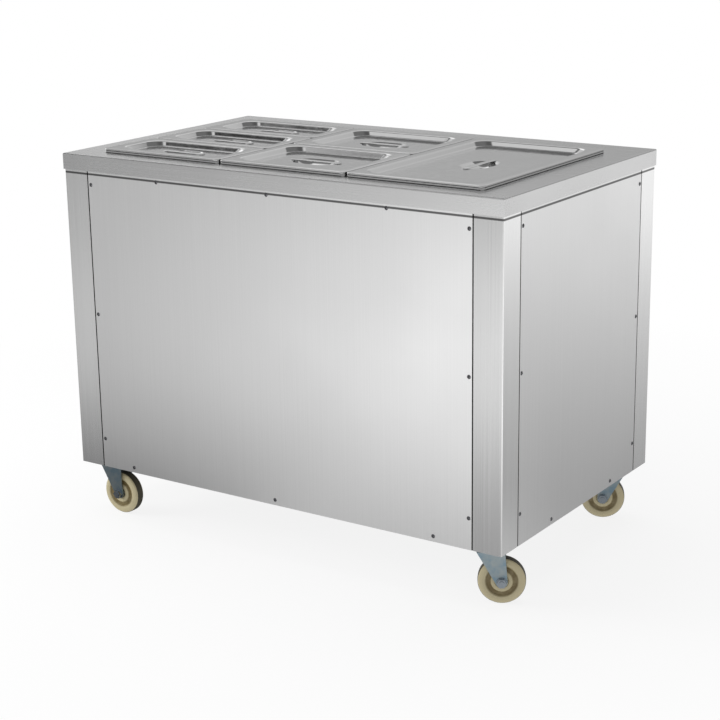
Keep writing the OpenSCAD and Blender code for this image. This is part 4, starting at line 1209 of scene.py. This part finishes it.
@dataclass(frozen=True)
class Controls:
    """What the operator sees in the recess: a dial ring with its marks, and a lamp bezel.

    The sizes of ring, bezel and marks are in millimetres and the marks' angles in degrees. The
    length, growth and width of a mark are half sizes.
    """

    knob_x: float = -300 * MM
    lamp_x: float = -225 * MM
    panel_y: float = 309 * MM
    z: float = 756.75 * MM
    ring_inner: float = 26
    ring_outer: float = 39
    ring_height: float = 0.6
    bezel_inner: float = 7.1
    bezel_outer: float = 10
    bezel_height: float = 1.9
    marks_count: int = 11
    marks_start: float = 225
    marks_step: float = 27
    mark_inset: float = 3
    mark_length: float = 2.2
    mark_growth: float = 0.28
    mark_half: float = 0.45
    mark_levels: tuple[float, float] = (0.5, 0.85)

    def build(self) -> None:
        """Makes the dial ring with its marks and the lamp's bezel."""
        knob, lamp = (np.array([x, self.panel_y, self.z]) for x in (self.knob_x, self.lamp_x))
        inner, outer, high = self.ring_inner, self.ring_outer, self.ring_height
        rows = [[inner, 0, 0], [outer, 0, 0], [outer, high, 0.3], [inner, high, 0.3]]
        ring = Skin().lathe(outline(rows, 4), knob, REAR, 96)
        put_piece("dial_ring", ring, BLACK_PLASTIC, "cabinet", "black_plastic")
        put_piece("dial_marks", self.marks(knob), MARKING_WHITE, "cabinet", "black_plastic")
        inner, outer, high = self.bezel_inner, self.bezel_outer, self.bezel_height
        rim, lip = [outer - 0.6, high - 0.3, 0.6], [inner + 0.2, high, 0.5]
        rows = [[inner, 0, 0], [outer, 0, 0.1], rim, lip]
        bezel = Skin().lathe(outline(rows, 4), lamp, REAR, 64)
        put_piece("lamp_bezel", bezel, VALVE_CHROME, "cabinet", "valve_chrome")

    def marks(self, knob: Array) -> Skin:
        """Raised marks round the dial, growing longer as the heat rises.

        Mark k stands k steps before the first one's angle. It runs outwards from the inset by a
        length that grows evenly with k, and its outline is a superellipse of power 4.

        Args:
            knob: Point where the spindle leaves the panel.

        Returns:
            The marks as one skin.
        """
        skin = Skin()
        shape = superellipse(20, 4)
        levels, half = np.array(self.mark_levels)[:, None, None] * MM, self.mark_half * MM
        for k in range(self.marks_count):
            angle = math.radians(self.marks_start - self.marks_step * k)
            way = np.array([-math.cos(angle), 0.0, math.sin(angle)])
            across = np.array([way[2], 0.0, -way[0]])
            length = (self.mark_length + self.mark_growth * k) * MM
            middle = knob + way * ((self.ring_inner + self.mark_inset) * MM + length)
            flat = middle + shape[:, :1] * length * way + shape[:, 1:] * half * across
            skin.add(flat[None] + levels * REAR)
        return skin


@dataclass(frozen=True)
class Cabinet:
    """Everything that keeps its solid, with the finish of each."""

    post_x: float = 563 * MM
    post_y: float = 338 * MM
    open_flange: float = 310 * MM
    set_back: float = 0.4 * MM
    past_fold: float = 6 * MM
    facing: float = 0.7
    facing_back: float = -0.5
    posts: str = "post_front_left post_front_right post_rear_left post_rear_right"
    panels: str = "front_panel left_panel right_panel"
    finishes: tuple[tuple[Finish, str], ...] = (
        (WORKTOP_STEEL, "worktop long_bars cross_bars"),
        (TANK_STEEL, "tank_base tank_sides tank_ends heating_element"),
        (FRAME_STEEL, "tank_casing top_frame base_frame"),
        (POST_STEEL, posts),
        (PANEL_STEEL, panels),
        (DOOR_STEEL, "control_panel door_left door_right"),
        (FLOOR_STEEL, "cupboard_floor cupboard_shelf"),
        (TRACK_ALUMINIUM, "door_tracks"),
        (BLACK_PLASTIC, "thermostat_body power_switch cable_gland"),
        (KNOB_PLASTIC, "thermostat_knob"),
        (ROCKER_PLASTIC, "power_rocker"),
        (AMBER_LENS, "indicator_lamp"),
        (VALVE_CHROME, "drain_valve"),
        (LEVER_PAINT, "drain_lever"),
        (CASTOR_ZINC, "castor_plates"),
        (BOLT_STEEL, "castor_bolts"),
    )

    def dress(self, solids: Solids) -> None:
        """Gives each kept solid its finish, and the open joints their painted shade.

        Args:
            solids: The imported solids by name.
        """
        for finish, names in self.finishes:
            for name in names.split():
                solids[name].data.materials.clear()
                solids[name].data.materials.append(finish.material())
                LOG.info("solid %s in %s", name, finish.name)
        for name in self.posts.split():
            self.paint_seam_shade(solids[name].data, name == "post_front_right")
        for name in self.panels.split():
            self.paint_edge_shade(solids[name].data, 0 if name == "front_panel" else 1)

    def paint_seam_shade(self, mesh: Mesh, shaded_front: bool) -> None:
        """Paints shade on a post's set-back flanges, which show in the open joints.

        The flange beside the doors lies open on the rear side and keeps its steel, and so do the
        backs of all flanges, which show in the cupboard.

        Args:
            mesh: Mesh of the post.
            shaded_front: Whether the post's front face gets the darker copy of its steel, as
                painted shade.
        """
        x, y, _ = face_vectors(mesh, "center").T
        normals = face_vectors(mesh, "normal")
        out_x, out_y = normals[:, 0] * np.sign(x), normals[:, 1] * np.sign(y)
        in_x, in_y = self.post_x - np.abs(x), self.post_y - np.abs(y)
        least, most = np.minimum(in_x, in_y), np.maximum(in_x, in_y)
        inside = (least > self.set_back) & (most > self.past_fold) & (y < self.open_flange)
        inside &= np.where(in_y < in_x, out_y, out_x) > self.facing_back
        # Painted shade: the set-back flange faces in the open joints get the near-black gap shade
        chosen = [(inside, PAINTED_GAP_SHADE)]
        if shaded_front:
            # Painted shade: the front face outside the joints gets the darker copy of the post
            # steel
            chosen.append(((normals[:, 1] < -self.facing) & ~inside, SHADED_POST_STEEL))
        paint_faces(mesh, *chosen)

    def paint_edge_shade(self, mesh: Mesh, across: int) -> None:
        """Paints shade on a panel's upright edges, which face the posts over the open joint.

        Args:
            mesh: Mesh of the panel.
            across: Axis along which the panel is wide.
        """
        edges = np.abs(face_vectors(mesh, "normal")[:, across]) > self.facing
        # Painted shade: the upright edge faces get the near-black gap shade
        paint_faces(mesh, (edges, PAINTED_GAP_SHADE))


@dataclass(frozen=True)
class Zone:
    """Part of the room, as ranges of the components of the direction in which it is seen."""

    strength: float
    x: tuple[float, float] = ANYWHERE
    y: tuple[float, float] = ANYWHERE
    z: tuple[float, float] = ANYWHERE
    soft: float = 0.05

    def share(self, graph: Graph, way: Sequence[Socket]) -> Socket:
        """Strength of the zone in a direction.

        Args:
            graph: Nodes of the room.
            way: Components of the direction.

        Returns:
            The strength inside the zone, and 0 outside it.
        """
        bands = [
            graph.band(value, *limits, self.soft)
            for value, limits in zip(way, (self.x, self.y, self.z))
            if limits != ANYWHERE
        ]
        return graph.product(self.strength, *bands)


@dataclass(frozen=True)
class PhotoCamera:
    """The camera fitted to the photograph's straight edges."""

    azimuth: float = 34.15
    elevation: float = 15.87
    roll: float = -0.875
    distance: float = 3.978
    target: tuple[float, float, float] = (-0.0005, 0.0, 0.3728)
    focal_share: float = 1735 / 720
    sensor: float = 36.0
    clip: tuple[float, float] = (0.05, 100.0)

    def place(self) -> None:
        """Makes the scene's camera.

        The back vector points from the target to the camera, the right vector lies level, and the
        two axes of the picture are right and up turned by the roll.
        """
        az, el, roll = (math.radians(v) for v in (self.azimuth, self.elevation, self.roll))
        back = Vector((math.sin(az) * math.cos(el), -math.cos(az) * math.cos(el), math.sin(el)))
        level = Vector((math.cos(az), math.sin(az), 0.0))
        above = back.cross(level)
        right = math.cos(roll) * level + math.sin(roll) * above
        up = -math.sin(roll) * level + math.cos(roll) * above
        data = bpy.data.cameras.new("photo_camera")
        data.sensor_width = self.sensor
        data.lens = self.sensor * self.focal_share
        data.clip_start, data.clip_end = self.clip
        camera = linked("photo_camera", data)
        shift = Matrix.Translation(Vector(self.target) + back * self.distance)
        camera.matrix_world = shift @ Matrix((right, up, back)).transposed().to_4x4()
        bpy.context.scene.camera = camera


@dataclass(frozen=True)
class SoftLamp:
    """A rectangular softbox that looks at a point."""

    name: str
    position: tuple[float, float, float]
    aim: tuple[float, float, float]
    size: tuple[float, float]
    watts: float

    def place(self) -> None:
        """Makes the lamp, turned towards its aim and not mirrored in the metal."""
        data = bpy.data.lights.new(self.name, "AREA")
        data.shape = "RECTANGLE"
        data.size, data.size_y = self.size
        data.energy = self.watts
        lamp = linked(self.name, data)
        lamp.location = self.position
        way = Vector(self.aim) - Vector(self.position)
        lamp.rotation_euler = way.to_track_quat("-Z", "Y").to_euler()
        lamp.visible_glossy = False


@dataclass(frozen=True)
class Studio:
    """A plain pale floor in a white room, lit by softboxes.

    Metal sees the room's shades and lights, and the floor as a glow of its own. A ramp holds the
    two values that it runs between and its first and last result. The floor's ramps run over the
    distance from the object, but glow_across over the direction and behind over Y; the room's
    ramp runs upwards.
    """

    floor_half: float = 16.0
    floor_drop: float = 0.5 * MM
    floor_cells: int = 4
    floor_grey: float = 0.86
    whitening: Ramp = (0.75, 2.0, 0.85, 1.0)
    glow_rise: Ramp = (0.5, 2.1, 0.42, 1.14)
    glow_fall: Ramp = (2.6, 5.2, 1.0, 0.68)
    glow_across: Ramp = (-0.80, -0.15, 0.42, 1.36)
    glow_back: Ramp = (0.8, 4.4, 0.38, 1.05)
    behind: Ramp = (-0.4, 0.4, 0.0, 1.0)
    room_upwards: Ramp = (0.1, 0.8, 0.42, 0.8)
    lamps: tuple[SoftLamp, ...] = (
        SoftLamp("overhead", (-0.2, 0.2, 3.4), (0.0, 0.0, 0.5), (3.2, 2.4), 60.0),
        SoftLamp("left_front", (-3.3, -1.9, 1.7), (0.0, -0.3, 0.3), (2.0, 1.6), 95.0),
    )
    shades: tuple[Zone, ...] = (
        Zone(0.94, x=(-0.90, -0.560), y=(-2.0, -0.12), z=(0.50, 0.97), soft=0.02),
        Zone(0.85, x=(-0.36, 0.96), y=(-2.0, 0.05), z=(0.72, 2.0), soft=0.06),
        Zone(0.40, x=(0.22, 2.0), y=(0.30, 2.0), z=(0.40, 0.66), soft=0.08),
        Zone(0.76, y=(0.02, 2.0), z=(0.66, 2.0), soft=0.05),
    )
    lights: tuple[Zone, ...] = (
        Zone(1.00, x=(-2.0, -0.80), y=(-0.10, 0.60), z=(-0.20, 0.55), soft=0.06),
        Zone(0.70, x=(-0.68, -0.46), y=(0.25, 2.0), z=(0.27, 0.66), soft=0.09),
    )

    def floor(self) -> None:
        """Makes the floor as a flat square grid, a hair below the wheels."""
        count = self.floor_cells + 1
        span = np.linspace(-self.floor_half, self.floor_half, count)
        x, y = np.meshgrid(span, span, indexing="ij")
        points = np.stack([x, y, np.full_like(x, -self.floor_drop)], axis=-1).reshape(-1, 3)
        index = np.arange(count**2).reshape(count, count)
        corners = [index[:-1, :-1], index[1:, :-1], index[1:, 1:], index[:-1, 1:]]
        mesh = bpy.data.meshes.new("studio_floor")
        mesh.from_pydata(points.tolist(), [], np.stack(corners, -1).reshape(-1, 4).tolist())
        mesh.materials.append(self.floor_material())
        linked("studio_floor", mesh)

    def floor_material(self) -> Material:
        """Pale matt paint near the object that blends into plain white with distance.

        Metal sees the same floor as a glow that rises from the object, falls off further away and
        is weaker towards the left, and behind the object as one that only rises. This gives the
        sheets their gradients.

        Returns:
            The material.
        """
        graph = Surface("studio_floor")
        graph.set(Base_Color=grey(self.floor_grey), Roughness=0.8, Specular_IOR_Level=0.1)
        white = graph.feed(graph.node("Emission"), Strength=1.0)
        place = graph.coordinates()
        x, y, _ = graph.parts(place)
        reach = graph.feed(graph.node("VectorMath", operation="LENGTH"), place).outputs["Value"]
        seen = graph.layered(graph.spread(reach, *self.whitening), graph.shader, white)
        front = graph.product(
            graph.spread(reach, *self.glow_rise, True),
            graph.spread(reach, *self.glow_fall, True),
            graph.spread(graph.math("DIVIDE", x, reach), *self.glow_across),
        )
        back = graph.spread(reach, *self.glow_back)
        behind = graph.spread(y, *self.behind, True)
        front = graph.product(front, graph.math("SUBTRACT", 1.0, behind))
        glow = graph.math("ADD", front, graph.product(back, behind))
        mirrored = graph.feed(graph.node("Emission"), Strength=glow)
        glossy = graph.node("LightPath").outputs["Is Glossy Ray"]
        graph.feed(graph.output, graph.layered(glossy, seen, mirrored).outputs[0])
        return graph.material

    def room(self) -> None:
        """Makes the room: white to the camera, and a studio's soft greys to everything else."""
        world = bpy.data.worlds.new("studio_room")
        bpy.context.scene.world = world
        world.use_nodes = True
        graph = Graph(world.node_tree)
        parts = graph.parts(graph.node("TexCoord").outputs["Generated"])
        glow = graph.spread(parts[2], *self.room_upwards)
        for zone in self.shades:
            glow = graph.product(glow, graph.math("SUBTRACT", 1.0, zone.share(graph, parts)))
        for zone in self.lights:
            glow = graph.math("ADD", glow, zone.share(graph, parts))
        light = graph.feed(graph.node("Background"), grey(1.0), glow)
        seen = graph.feed(graph.node("Background"), grey(1.0), 1.0)
        camera = graph.node("LightPath").outputs["Is Camera Ray"]
        graph.feed(graph.node("OutputWorld"), graph.layered(camera, light, seen).outputs[0])

    def build(self) -> None:
        """Makes the room, the floor and the lamps, and sets how the picture is shown."""
        self.room()
        self.floor()
        for lamp in self.lamps:
            lamp.place()
        bpy.context.scene.view_settings.view_transform = "Standard"


def castor_corners(joints: Iterable[dict[str, Any]]) -> list[tuple[str, Array, Array]]:
    """Finds the castors from the joints that roll.

    Args:
        joints: The frame's joints.

    Returns:
        Name, wheel centre and axle direction of each castor.
    """
    found = []
    for joint in joints:
        if joint["name"].startswith("roll_"):
            axis = np.array(joint["axis"], float)
            corner = joint["name"].removeprefix("roll_")
            found.append((corner, np.array(joint["pos_m"], float), axis / np.linalg.norm(axis)))
    return found


def main() -> None:
    """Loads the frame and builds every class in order."""
    logging.basicConfig(level=logging.INFO, format="%(name)s: %(message)s")
    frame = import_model()
    PhotoCamera().place()
    Studio().build()
    Cabinet().dress(frame["nodes"])
    for place in PAN_PLACES:
        Pan(place).build()
        Lid(place).build()
    for corner, centre, axis in castor_corners(frame["joints"]):
        CastorWheel(corner, centre, axis).build()
        CastorFork(corner, centre, axis).dress(frame["nodes"])
    DomedScrews().build()
    Controls().build()


if __name__ == "__main__":
    main()
